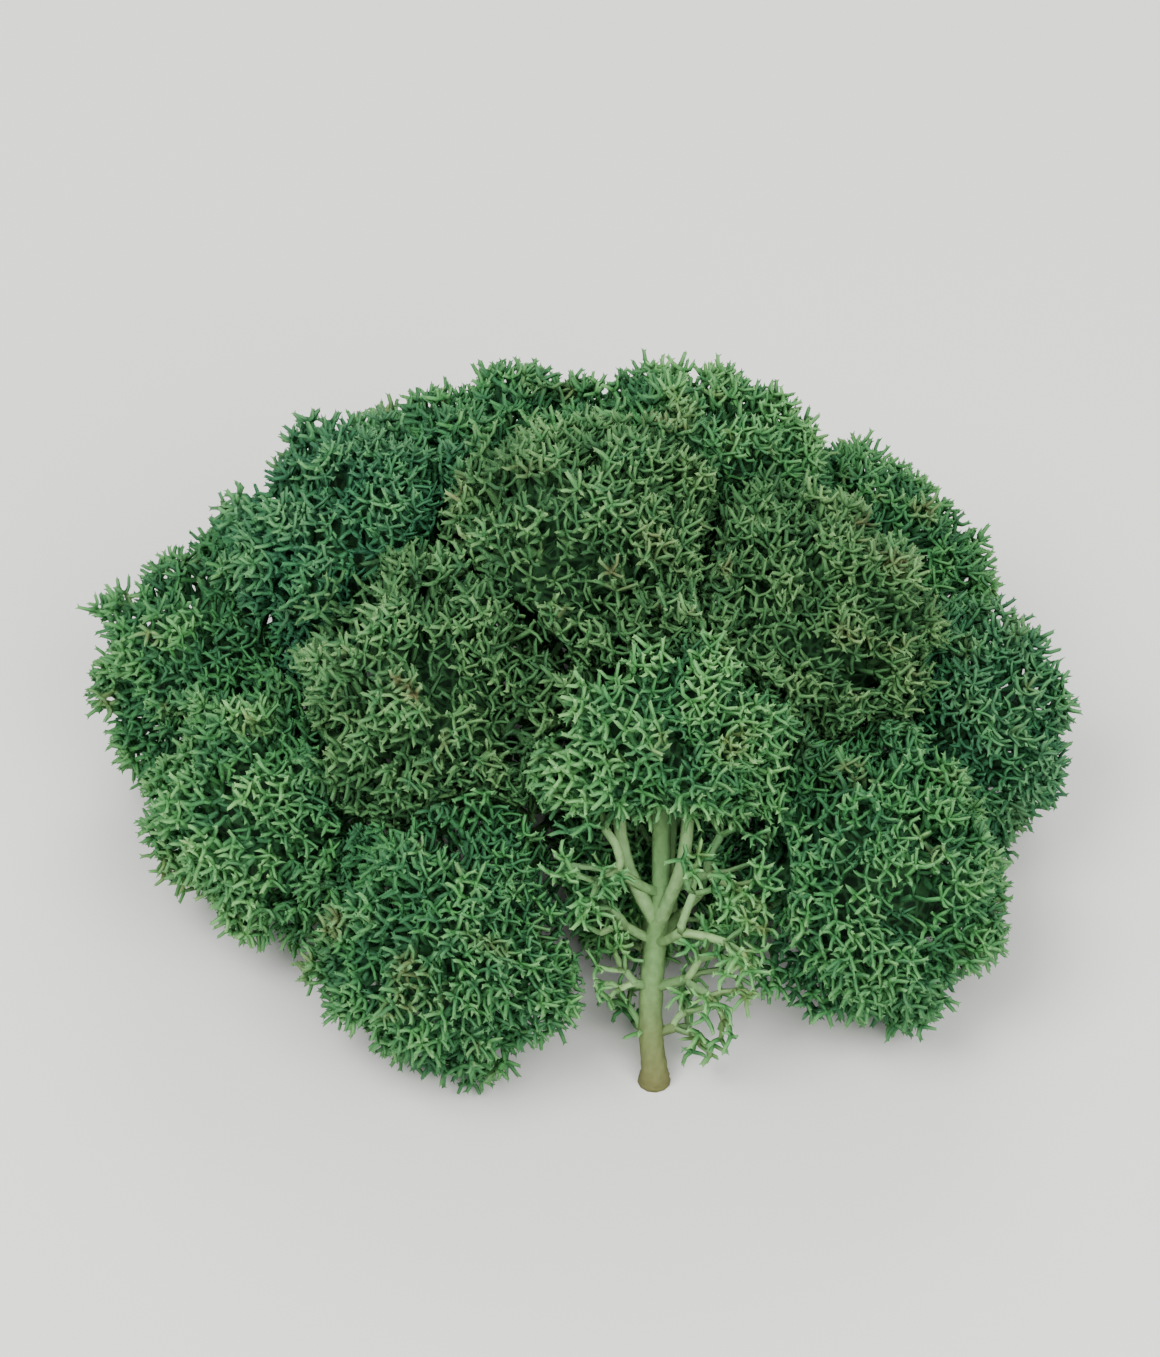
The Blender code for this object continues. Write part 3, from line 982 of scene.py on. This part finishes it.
    def scatter_old(self) -> Array:
        """Places for the old branchlets on the stalk, dark with the hollow's painted shade: a grid with each
        place moved at random, as far as it is in the hollow under the heads. The open podetium has none.

        Returns:
            The places, one a row.
        """
        width, top = max(self.cushion.rim), self.cushion.hollow_top[1]
        across = np.arange(-width, width, self.old_gap)
        grid = np.meshgrid(across, across, np.arange(self.old_floor, top, self.old_gap))
        points = np.stack(grid, axis=-1).reshape(-1, 3)
        points += self.rng.uniform(-self.old_shift, self.old_shift, points.shape) * self.old_gap
        chosen = self.cushion.hollow(points) > self.old_share
        chosen &= self.cushion.surface(points)[0] < self.old_depth
        chosen &= self.room.holds(points, self.wall_clearance) & (not self.is_open)
        return points[chosen & (points[:, 2] > self.old_floor)]

    def settle(self, points: Array) -> Array:
        """Evens the places out. At each step every two places that are closer than their gap push each other
        apart by a share of what is missing, and all stay under the surface and inside the room.

        Args:
            points: The places, one a row.

        Returns:
            The settled places.
        """
        end_depth = self.end_depth + self.rng.uniform(-1, 1, len(points)) * self.end_depth_spread
        for _ in range(self.settling_steps):
            depth, outward = self.depth_at(points)
            gap = self.gap_at(depth, points, outward)
            wanted = (gap[:, None] + gap) / 2
            squares = (points**2).sum(axis=1)
            apart = np.sqrt(np.maximum(squares[:, None] + squares - 2 * points @ points.T, 1e-6))
            push = np.clip(wanted / apart - 1, 0, self.most_push) * self.push
            np.fill_diagonal(push, 0)
            points = points + points * push.sum(axis=1, keepdims=True) - push @ points
            depth, outward = self.depth_at(points)
            points = points - outward * np.maximum(end_depth - depth, 0)[:, None]
            points = self.room.keep_inside(self.clear_of_stalk(points), self.wall_clearance)
        return points

    def link(self, points: Array) -> Array:
        """Finds the place that each settled place grew from: the nearest one of its crown that is clearly
        closer to the crown's base, with a step that turns away from the base counted as longer.

        Args:
            points: The settled places.

        Returns:
            The number of each one's parent, with the skeleton's places counted first.
        """
        own = np.array(self.skeleton.places)
        crown = self.crown_of(points)
        base = np.array([crown.base for crown in self.crowns])[crown]
        places = np.vstack((own, points))
        reach = np.linalg.norm(points - base, axis=1)
        outward = unit(points - base)
        steps = np.linalg.norm(points[:, None] - places, axis=2) + 1e-6
        rise = ((points * outward).sum(axis=1)[:, None] - outward @ places.T) / steps
        cost = steps * (1 + self.turn_cost * (1 - rise))
        allowed = np.zeros(steps.shape, bool)
        allowed[:, : len(own)] = np.array(self.skeleton.feeds) == crown[:, None]
        closer = reach < reach[:, None] - self.closer * steps[:, len(own) :]
        allowed[:, len(own) :] = closer & (crown == crown[:, None])
        return np.where(allowed, cost, np.inf).argmin(axis=1)

    def link_old(self, points: Array, count: int) -> Array:
        """Finds the place that each old branchlet grew from: the nearest one on the stalk, or the nearest
        other old branchlet that is clearly closer to the stalk.

        Args:
            points: The old branchlets' places.
            count: How many places come before them.

        Returns:
            The number of each one's parent.
        """
        stalk = np.array([self.skeleton.places[number] for number in self.stalk[:-1]])
        steps = np.linalg.norm(points[:, None] - np.vstack((stalk, points)), axis=2)
        off = steps[:, : len(stalk)].min(axis=1)
        closer = off < off[:, None] - self.closer * steps[:, len(stalk) :]
        allowed = np.hstack((np.ones((len(points), len(stalk)), bool), closer))
        nearest = np.where(allowed, steps, np.inf).argmin(axis=1)
        numbers = np.concatenate((self.stalk[:-1], count + np.arange(len(points))))
        return numbers[nearest].astype(int)

    def add_core(self, crown: Crown) -> None:
        """Adds a crown's core, a lumpy ball of painted shade that follows the surface from within the room.

        Its radius in each direction is found by halving: it is the furthest that is still deep enough.

        Args:
            crown: The crown.
        """
        ball = bmesh.new()
        bmesh.ops.create_icosphere(ball, subdivisions=self.core_detail, radius=1)
        ways = unit(np.array([vertex.co for vertex in ball.verts]))
        faces = np.array([[vertex.index for vertex in face.verts] for face in ball.faces])
        ball.free()
        waves = np.array(self.core_waves, float)
        wanted = self.core_depth + self.core_lump * np.sin(ways @ waves + self.turn)
        near = np.zeros(len(ways))
        far = np.full(len(ways), crown.radius * self.core_reach)
        for _ in range(self.halvings):
            middle = (near + far) / 2
            points = crown.middle + ways * middle[:, None]
            inside = (self.depth_at(points)[0] > wanted) & self.room.holds(points, self.core_clearance)
            near = np.where(inside, middle, near)
            far = np.where(inside, far, middle)
        self.strands.add_core(crown.middle + ways * np.maximum(near, self.core_least)[:, None], faces)

    def add_stalk(self) -> None:
        """Adds the stalk on its flat cut foot, and the limbs under the head. The stalk starts upright, and
        the foot's flare falls off as the square of the height that is left."""
        places = np.array([self.skeleton.places[number] for number in self.stalk])
        places = np.insert(places, 1, self.foot + np.array((0, 0, self.foot_height)), axis=0)
        middles, tangents = along_path(places, self.stalk_rings)
        upright = 1 - smooth_step(0, self.upright_height, middles[..., 2:])
        tangents = unit(tangents * (1 - upright) + np.array((0, 0, 1)) * upright)
        shares = np.linspace(0, 1, middles.shape[1])
        radii = self.stalk_radius + (self.stalk_end_radius - self.stalk_radius) * shares**2
        height = np.maximum(1 - middles[0, :, 2] / self.flare_height, 0)
        radii += (self.foot_radius - self.stalk_radius) * height**2
        radii *= np.where(shares > 0, self.rng.uniform(*self.unevenness, len(shares)), 1)
        bare = 1.0 if self.is_open else self.closed_bare
        self.add_tube((middles, tangents), radii, bare, self.stalk_sides)
        for path in self.limb_paths:
            line = along_path(np.array([self.skeleton.places[number] for number in path]), self.limb_rings)
            radii = np.linspace(self.limb_radius, self.limb_end_radius, line[0].shape[1])
            radii *= self.rng.uniform(*self.unevenness, len(radii))
            self.add_tube(line, radii, bare * self.limb_bareness, self.limb_sides)

    def add_tube(self, line: Line, radii: Array, bare: float, sides: int) -> None:
        """Adds one strand along a path, all of it equally bare."""
        pole = line[0][:, -1] + line[1][:, -1] * radii[-1] * self.blunt_cap
        self.strands.add(line, radii[None], sides, pole, (0.0, CORE_MARKS[Mark.SHADE], bare))

    def radii_of(self, is_end: Array) -> Array:
        """The radius of the strand to each place: the end's radius times a power of the number of ends that
        it carries, and no less than a bare stalk or a limb has.

        Args:
            is_end: Which places are ends.

        Returns:
            The radii.
        """
        carried = np.zeros(len(is_end))
        reached = np.flatnonzero(is_end)
        while len(reached):
            np.add.at(carried, reached, 1)
            reached = self.forks.parents[reached]
            reached = reached[reached >= 0]
        radius = self.end_radius * np.maximum(carried, 1) ** self.carry_power
        radius = np.maximum(radius, self.bare_radius * self.forks.bare)
        return np.where(self.forks.made, np.maximum(radius, self.limb_end_radius), radius)

    def add_strands(self) -> None:
        """Adds a strand from each fork's parent to it, and a whorl of prongs at each end. A strand leaves its
        parent a little against the parent's heading, and its own heading turns outwards."""
        places, parents, bare = self.forks.places, self.forks.parents, self.forks.bare
        count = len(places)
        is_end = np.bincount(parents[1:], minlength=count) == 0
        radius = self.radii_of(is_end)
        depth, outward = self.depth_at(places)
        child = np.flatnonzero(~self.forks.made)
        parent = parents[child]
        start, stop = places[parent], places[child]
        length = np.linalg.norm(stop - start, axis=1, keepdims=True)
        along = np.tile(self.axis, (count, 1))
        along[child] = (stop - start) / np.maximum(length, 1e-6)
        drift = self.rng.normal(size=(count, 3)) * self.drift
        heading = unit(along + (self.outward_pull * outward + drift) * (1 - bare)[:, None])
        drift = self.rng.normal(size=(len(child), 3)) * self.leave_drift
        leave = unit(along[child] - self.leave_back * heading[parent] + drift)
        bends = start + leave * length * self.pull, stop - heading[child] * length * self.pull
        curves = np.stack((start, *bends, stop), axis=1)
        shade = self.rng.uniform(0, 1, count)
        thick = radius[child] > self.thick_radius
        for chosen, sides, shares in ((thick, 5, self.thick_shares), (~thick, 3, self.thin_shares)):
            rows = np.flatnonzero(chosen)
            ends, starts = radius[child[rows]], radius[parent[rows]]
            own = self.room.keep_inside(curves[rows], ends[:, None] + self.strand_margin)
            rings = np.repeat(ends[:, None], len(shares), axis=1)
            rings[:, 0] = np.minimum(starts * self.narrower, ends * self.swollen)
            rings *= self.rng.uniform(*self.strand_unevenness, rings.shape)
            line = along_curves(own, np.array(shares))
            poles = own[:, 3] + line[1][:, -1] * rings[:, -1:] * self.strand_cap
            bareness = np.linspace(bare[parent[rows]], bare[child[rows]], len(shares) + 1, axis=1)
            self.strands.add(line, rings, sides, poles, (0.0, shade[child[rows], None], bareness))
        near = depth < self.end_depth + self.end_depth_spread + self.near_margin
        near &= bare < self.near_bare
        young = np.arange(count) < self.forks.grown
        chosen = np.flatnonzero((is_end | near) & ~self.forks.made & young)
        full = self.rng.integers(*self.prong_counts, len(chosen))
        few = self.rng.integers(*self.side_prongs, len(chosen))
        counts = np.where(is_end[chosen], full, few)
        axes = unit(heading[chosen] + self.whorl_outward * outward[chosen])
        self.add_whorls(places[chosen], axes, counts, depth[chosen], shade[chosen])

    def add_whorls(self, bases: Array, axes: Array, counts: Array, depth: Array, shade: Array) -> None:
        """Adds the prongs round each end. They lean out from the end's axis, curl up again round an open
        middle, and each splits into two short tips.

        Args:
            bases: Where the ends are.
            axes: Their directions.
            counts: How many prongs each has.
            depth: How far inside the cushion they are.
            shade: Their shades.
        """
        number, most = len(bases), int(counts.max())
        rng, many = self.rng, (number, most, 1)
        counts = counts[:, None]
        slots = np.arange(most)
        keep = slots < counts
        turn = 2 * math.pi * (slots / counts + rng.uniform(0, 1, (number, 1)))
        turn = (turn + rng.normal(size=(number, most)) * self.prong_drift)[..., None]
        first, second = across_pair(axes)
        side = first[:, None] * np.cos(turn) + second[:, None] * np.sin(turn)
        lean = rng.uniform(*self.prong_lean, many)
        curl = self.prong_curl * rng.uniform(*self.prong_curls, many)
        axis = axes[:, None]
        around = np.cross(axis, side) * (rng.normal(size=many) * self.prong_twist)
        early = unit((side - around * self.early_twist) * np.sin(lean + curl) + axis * np.cos(lean + curl))
        middle = side * np.sin(lean) + axis * np.cos(lean)
        late = unit((side + around) * np.sin(lean - curl) + axis * np.cos(lean - curl))
        size = self.prong_length * rng.uniform(*self.prong_lengths, many)
        base = np.repeat((bases - axes * self.prong_sink)[:, None], most, axis=1)
        bend = base + early * size * self.prong_parts[0]
        far = bend + middle * size * self.prong_parts[1]
        stop = far + late * size * self.prong_parts[2]
        curves = np.stack((base, bend, far, stop), axis=2)
        curves = self.room.keep_inside(curves, self.prong_radius * self.prong_margin)[keep]
        drift = rng.uniform(-self.shade_drift, self.shade_drift, (number, most))
        shades = (shade[:, None] + drift)[keep][:, None]
        shown = np.repeat(depth[:, None], most, axis=1)[keep] < self.shown_depth
        for chosen, shares in ((shown, np.array(self.prong_shares)), (~shown, np.array(self.hidden_shares))):
            own = curves[chosen]
            line = along_curves(own, shares)
            taper = self.prong_base - self.prong_taper * shares
            radii = self.prong_radius * taper * rng.uniform(*self.prong_unevenness, (len(own), 1))
            poles = own[:, 3] + unit(own[:, 3] - own[:, 2]) * radii[:, -1:] * self.blunt_cap
            marks = np.append(shares, 1) * self.tip_from, shades[chosen], 0.0
            self.strands.add(line, radii, 3, poles, marks)
            if chosen is shown:
                self.add_tips(own[:, 3], line[1][:, -1], shades[chosen])

    def add_tips(self, ends: Array, ways: Array, shade: Array) -> None:
        """Adds two pointed tips to each prong's end, on both sides of its way.

        Args:
            ends: The prongs' ends.
            ways: Their directions.
            shade: Their shades.
        """
        rng, many = self.rng, (len(ends), 1)
        first, second = across_pair(ways)
        turn = rng.uniform(0, 2 * math.pi, many)
        side = first * np.cos(turn) + second * np.sin(turn)
        start = ends - ways * self.tip_sink
        for sign in (-1, 1):
            spread = sign * self.tip_spread * rng.uniform(*self.tip_spreads, many)
            length = self.tip_length * rng.uniform(*self.tip_lengths, many)
            way = unit(ways + side * spread)
            poles = self.room.keep_inside(start + way * length, self.tip_radius * self.tip_margin)
            radii = self.tip_radius * rng.uniform(*self.tip_radii, many)
            line = start[:, None], unit(poles - start)[:, None]
            self.strands.add(line, radii, 3, poles, (np.array((self.tip_from, 1.0)), shade, 0.0))


def feed(tree: bpy.types.NodeTree, node: bpy.types.Node, inputs: dict[str | int, object]) -> None:
    """Sets a node's inputs.

    Args:
        tree: The material's nodes.
        node: The node.
        inputs: For each input, the socket that it is linked to, its value, or a colour's hex code.
    """
    for name, value in inputs.items():
        if isinstance(value, Socket):
            tree.links.new(value, node.inputs[name])
        else:
            node.inputs[name].default_value = linear_colour(value) if isinstance(value, str) else value


def add_node(
    tree: bpy.types.NodeTree, kind: str, inputs: dict[str | int, object] | None = None, **settings: object
) -> bpy.types.Node:
    """Adds a node with its inputs and settings.

    Args:
        tree: The material's nodes.
        kind: The node's type, without the words that all types start with.
        inputs: Its inputs, as feed takes them.
        settings: Properties of the node by name.

    Returns:
        The node.
    """
    node = tree.nodes.new("ShaderNode" + kind)
    for name, value in settings.items():
        setattr(node, name, value)
    feed(tree, node, inputs or {})
    return node


@dataclass(frozen=True)
class Layer:
    """A colour laid over others. It covers by a smooth step of its guide over the span, up to the most."""

    guide: Socket
    span: Span
    colour: Socket | str
    most: Socket | float = 1.0


def lay_over(tree: bpy.types.NodeTree, colour: Socket | str, *layers: Layer) -> Socket:
    """Lays colours over one another.

    Args:
        tree: The material's nodes.
        colour: The lowest colour.
        layers: The colours over it, the lowest first.

    Returns:
        The colour that shows.
    """
    for layer in layers:
        low, high = layer.span
        spread = {"Value": layer.guide, "From Min": low, "From Max": high, "To Max": layer.most}
        cover = add_node(tree, "MapRange", spread, interpolation_type="SMOOTHSTEP").outputs["Result"]
        colour = add_node(tree, "Mix", {0: cover, 6: colour, 7: layer.colour}, data_type="RGBA").outputs[2]
    return colour


@dataclass(frozen=True)
class DyedLichen:
    """Preserved lichen, soaked in glycerine and green dye.

    The strands have no skin but a matt, cottony surface, so they look soft and hardly shine. The dye takes
    brightest at the tips, and some patches dry to a dull olive. Deep inside, in the valleys between heads,
    in the creases between tufts and in the hollow under the heads the colour is laid darker and bluish:
    painted shade.
    """

    tone: Tone
    tip: str
    body: str
    # deep: the painted shade colour, laid on deep in the cushion, in valleys, creases and the hollow
    deep: str
    patch: str
    dull: str

    # The bare stalk, which turns brownish towards its old foot
    limb: str = "#80a26b"
    stalk: str = "#6c8f59"
    stalk_foot: str = "#66663f"
    old_mm: float = 11.0

    # The core: painted shade, a dark net of strands over darker holes
    tangle: str = "#2a502d"
    painted_shade_hole: str = "#112815"
    net_mm: float = 1.3

    # How large the patches, the dull spots, the grain and the fluff are. The fluff of real strands is finer
    # than this, and is drawn as coarse as it needs to show.
    patch_mm: float = 13.0
    dull_mm: float = 6.0
    grain_mm: float = 0.8
    fluff_mm: float = 0.16
    grain_bump: Span = (0.7, 0.3)
    fluff_bump: Span = (0.6, 0.07)

    # Where each guide starts and ends to show its colour
    patch_span: Span = (0.42, 0.6)
    dull_span: Span = (0.56, 0.7)
    tip_span: Span = (0.05, 1.1)
    stalk_span: Span = (0.8, 1.0)
    bare_span: Span = (0.0, 0.9)
    painted_shade_span: Span = (1.1, 5.6)
    net_span: Span = (0.03, 0.2)
    core_span: Span = (-0.6, -0.4)
    # How much less painted shade bare stalks and limbs take, for each unit of bareness
    bare_lights_up: float = -0.6

    # How the shade of a strand and the grain change its brightness and its hue
    shade_light: Span = (0.72, 1.28)
    shade_hue: Span = (0.515, 0.488)
    grain_light: Span = (0.7, 1.3)

    roughness: float = 0.75
    specular: float = 0.12

    def material(self) -> bpy.types.Material:
        """Makes the material.

        Returns:
            The lichen's material in this tone.
        """
        made = bpy.data.materials.new("dyed_lichen_" + self.tone.value)
        made.use_nodes = True
        tree = made.node_tree
        place = add_node(tree, "TexCoord").outputs["Object"]
        height = add_node(tree, "SeparateXYZ", {"Vector": place}).outputs["Z"]
        painted_shade, tip, shade, bare = (
            add_node(tree, "Attribute", attribute_name=mark.value).outputs["Fac"] for mark in Mark
        )
        sizes = (self.patch_mm, 2.0), (self.dull_mm, 3.0), (self.grain_mm, 2.0), (self.fluff_mm, 3.0)
        noises = ({"Vector": place, "Scale": 1 / (size * MM), "Detail": detail} for size, detail in sizes)
        patches, dulls, grain, fluff = (add_node(tree, "TexNoise", noise).outputs["Fac"] for noise in noises)
        net = add_node(
            tree, "TexVoronoi", {"Vector": place, "Scale": 1 / (self.net_mm * MM)}, feature="DISTANCE_TO_EDGE"
        ).outputs["Distance"]

        stalk = lay_over(tree, self.stalk_foot, Layer(height, (0, self.old_mm * MM), self.stalk))
        bark = lay_over(tree, self.limb, Layer(bare, self.stalk_span, stalk))
        # Painted shade: the deep colour goes over the strands by their painted shade mark, less where bare
        dark = add_node(tree, "Math", {0: bare, 1: self.bare_lights_up, 2: 1.0}, operation="MULTIPLY_ADD")
        strand = lay_over(
            tree,
            self.body,
            Layer(patches, self.patch_span, self.patch),
            Layer(dulls, self.dull_span, self.dull),
            Layer(tip, self.tip_span, self.tip),
            Layer(bare, self.bare_span, bark),
            Layer(painted_shade, self.painted_shade_span, self.deep, dark.outputs[0]),
        )
        # The core's net and holes are painted shade
        core = lay_over(tree, self.tangle, Layer(net, self.net_span, self.painted_shade_hole))
        colour = lay_over(tree, core, Layer(tip, self.core_span, strand))

        changes = (shade, *self.shade_light), (grain, *self.grain_light), (shade, *self.shade_hue)
        spreads = ({"Value": guide, "To Min": low, "To Max": high} for guide, low, high in changes)
        lighter, mottled, hue = (add_node(tree, "MapRange", spread).outputs["Result"] for spread in spreads)
        light = add_node(tree, "Math", {0: lighter, 1: mottled}, operation="MULTIPLY").outputs[0]
        tinted = add_node(tree, "HueSaturation", {"Color": colour, "Value": light, "Hue": hue})
        relief = {}
        for texture, (strength, rise) in ((grain, self.grain_bump), (fluff, self.fluff_bump)):
            bump = {"Height": texture, "Strength": strength, "Distance": rise * MM}
            relief = {"Normal": add_node(tree, "Bump", bump | relief).outputs["Normal"]}
        finish = {"Roughness": self.roughness, "Specular IOR Level": self.specular, "Metallic": 0.0}
        feed(tree, tree.nodes["Principled BSDF"], {"Base Color": tinted.outputs["Color"]} | relief | finish)
        return made


# Each tone's tip, body, deep, patch and dull colours; deep is the painted shade colour
FINISHES = {
    Tone.LEAF_GREEN: DyedLichen(Tone.LEAF_GREEN, "#66985f", "#457e47", "#396e43", "#3f7a48", "#627146"),
    Tone.OLIVE_GREEN: DyedLichen(Tone.OLIVE_GREEN, "#6e945e", "#4e7745", "#3f683e", "#477b49", "#626240"),
    Tone.BLUE_GREEN: DyedLichen(Tone.BLUE_GREEN, "#5f905f", "#407249", "#346a46", "#3a6e46", "#547045"),
    Tone.PALE_GREEN: DyedLichen(Tone.PALE_GREEN, "#76a76a", "#518b4e", "#3e7446", "#4a874a", "#6c824c"),
}


@dataclass(frozen=True)
class Softbox:
    """A square soft light that faces the clump: its place and side, and its power in watts."""

    name: str
    place: Triple
    side: float
    power: float


@dataclass
class Studio:
    """A pale floor, soft lights and the camera at the photograph's angle."""

    target: Triple = (0, 2, 17)
    distance: float = 500
    azimuth: float = math.radians(-5.9)
    elevation: float = math.radians(42)
    lens: float = 145
    sensor: float = 36
    clips: Span = (20, 20000)
    floor_size: float = 4000
    floor_level: float = -0.05
    floor_colours: tuple[str, str] = ("#e9e8e4", "#e4e3df")
    floor_patches: float = 12.0
    floor_roughness: float = 0.9
    air_colour: str = "#f4f6f7"
    air_light: float = 0.62
    lights: tuple[Softbox, ...] = (
        Softbox("key", (-330, -260, 620), 420, 5.9),
        Softbox("fill", (170, -430, 430), 420, 3.9),
        Softbox("rim", (120, 560, 420), 400, 3.0),
    )

    def build(self) -> None:
        """Makes the floor, the lights, the surroundings and the camera."""
        self.make_floor()
        for softbox in self.lights:
            self.make_light(softbox)
        self.make_surroundings()
        self.make_camera()

    def make_floor(self) -> None:
        """Makes the floor, a flat square board with a faint unevenness in its matt paint."""
        half, level = self.floor_size / 2 * MM, self.floor_level * MM
        mesh = bpy.data.meshes.new("floor")
        corners = [(x * half, y * half, level) for x, y in ((-1, -1), (1, -1), (1, 1), (-1, 1))]
        mesh.from_pydata(corners, [], [(0, 1, 2, 3)])
        floor = bpy.data.objects.new("floor", mesh)
        bpy.context.scene.collection.objects.link(floor)
        paint = bpy.data.materials.new("matt_painted_board")
        paint.use_nodes = True
        tree = paint.node_tree
        place = add_node(tree, "TexCoord").outputs["Object"]
        noise = add_node(tree, "TexNoise", {"Vector": place, "Scale": self.floor_patches, "Detail": 2.0})
        one, other = self.floor_colours
        mix = add_node(tree, "Mix", {0: noise.outputs["Fac"], 6: one, 7: other}, data_type="RGBA")
        finish = {"Base Color": mix.outputs[2], "Roughness": self.floor_roughness}
        feed(tree, tree.nodes["Principled BSDF"], finish)
        mesh.materials.append(paint)

    def make_light(self, softbox: Softbox) -> None:
        """Adds a soft light.

        Args:
            softbox: The light.
        """
        lamp = bpy.data.lights.new(softbox.name, "AREA")
        lamp.size = softbox.side * MM
        lamp.energy = softbox.power
        light = bpy.data.objects.new(softbox.name, lamp)
        self.aim(light, Vector(softbox.place), Vector(self.target) - Vector(softbox.place))

    def aim(self, thing: bpy.types.Object, place: Vector, way: Vector) -> None:
        """Puts a light or the camera in its place and turns it.

        Args:
            thing: The light or the camera.
            place: Where it stands.
            way: The direction in which it looks.
        """
        thing.location = place * MM
        thing.rotation_mode = "QUATERNION"
        thing.rotation_quaternion = way.to_track_quat("-Z", "Y")
        bpy.context.scene.collection.objects.link(thing)

    def make_surroundings(self) -> None:
        """Sets the even pale light that comes from all sides."""
        world = bpy.data.worlds.new("studio_white")
        world.use_nodes = True
        tree = world.node_tree
        feed(tree, tree.nodes["Background"], {"Color": self.air_colour, "Strength": self.air_light})
        bpy.context.scene.world = world

    def make_camera(self) -> None:
        """Makes the camera, which looks at the clump from the photograph's side and height."""
        data = bpy.data.cameras.new("camera")
        data.lens = self.lens
        data.sensor_width = self.sensor
        data.clip_start, data.clip_end = (clip * MM for clip in self.clips)
        camera = bpy.data.objects.new("camera", data)
        level = math.cos(self.elevation)
        back = Vector(
            (math.sin(self.azimuth) * level, -math.cos(self.azimuth) * level, math.sin(self.elevation))
        )
        self.aim(camera, Vector(self.target) + back * self.distance, -back)
        bpy.context.scene.camera = camera


def main() -> None:
    """Builds the podetia one by one, dresses them, and sets up the studio."""
    logging.basicConfig(level=logging.INFO, format="%(name)s %(message)s")
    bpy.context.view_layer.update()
    cushion = Cushion()
    materials = {tone: finish.material() for tone, finish in FINISHES.items()}
    for number, head in enumerate(cushion.heads):
        podetium = Podetium(cushion, number)
        piece = podetium.build()
        piece.data.materials.append(materials[head.tone])
        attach(piece, "root")
        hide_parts(head.name)
        forks, triangles = len(podetium.forks.places), podetium.strands.triangles()
        log.info("%s: %d forks, %d triangles", head.name, forks, triangles)
    Studio().build()


if __name__ == "__main__":
    main()
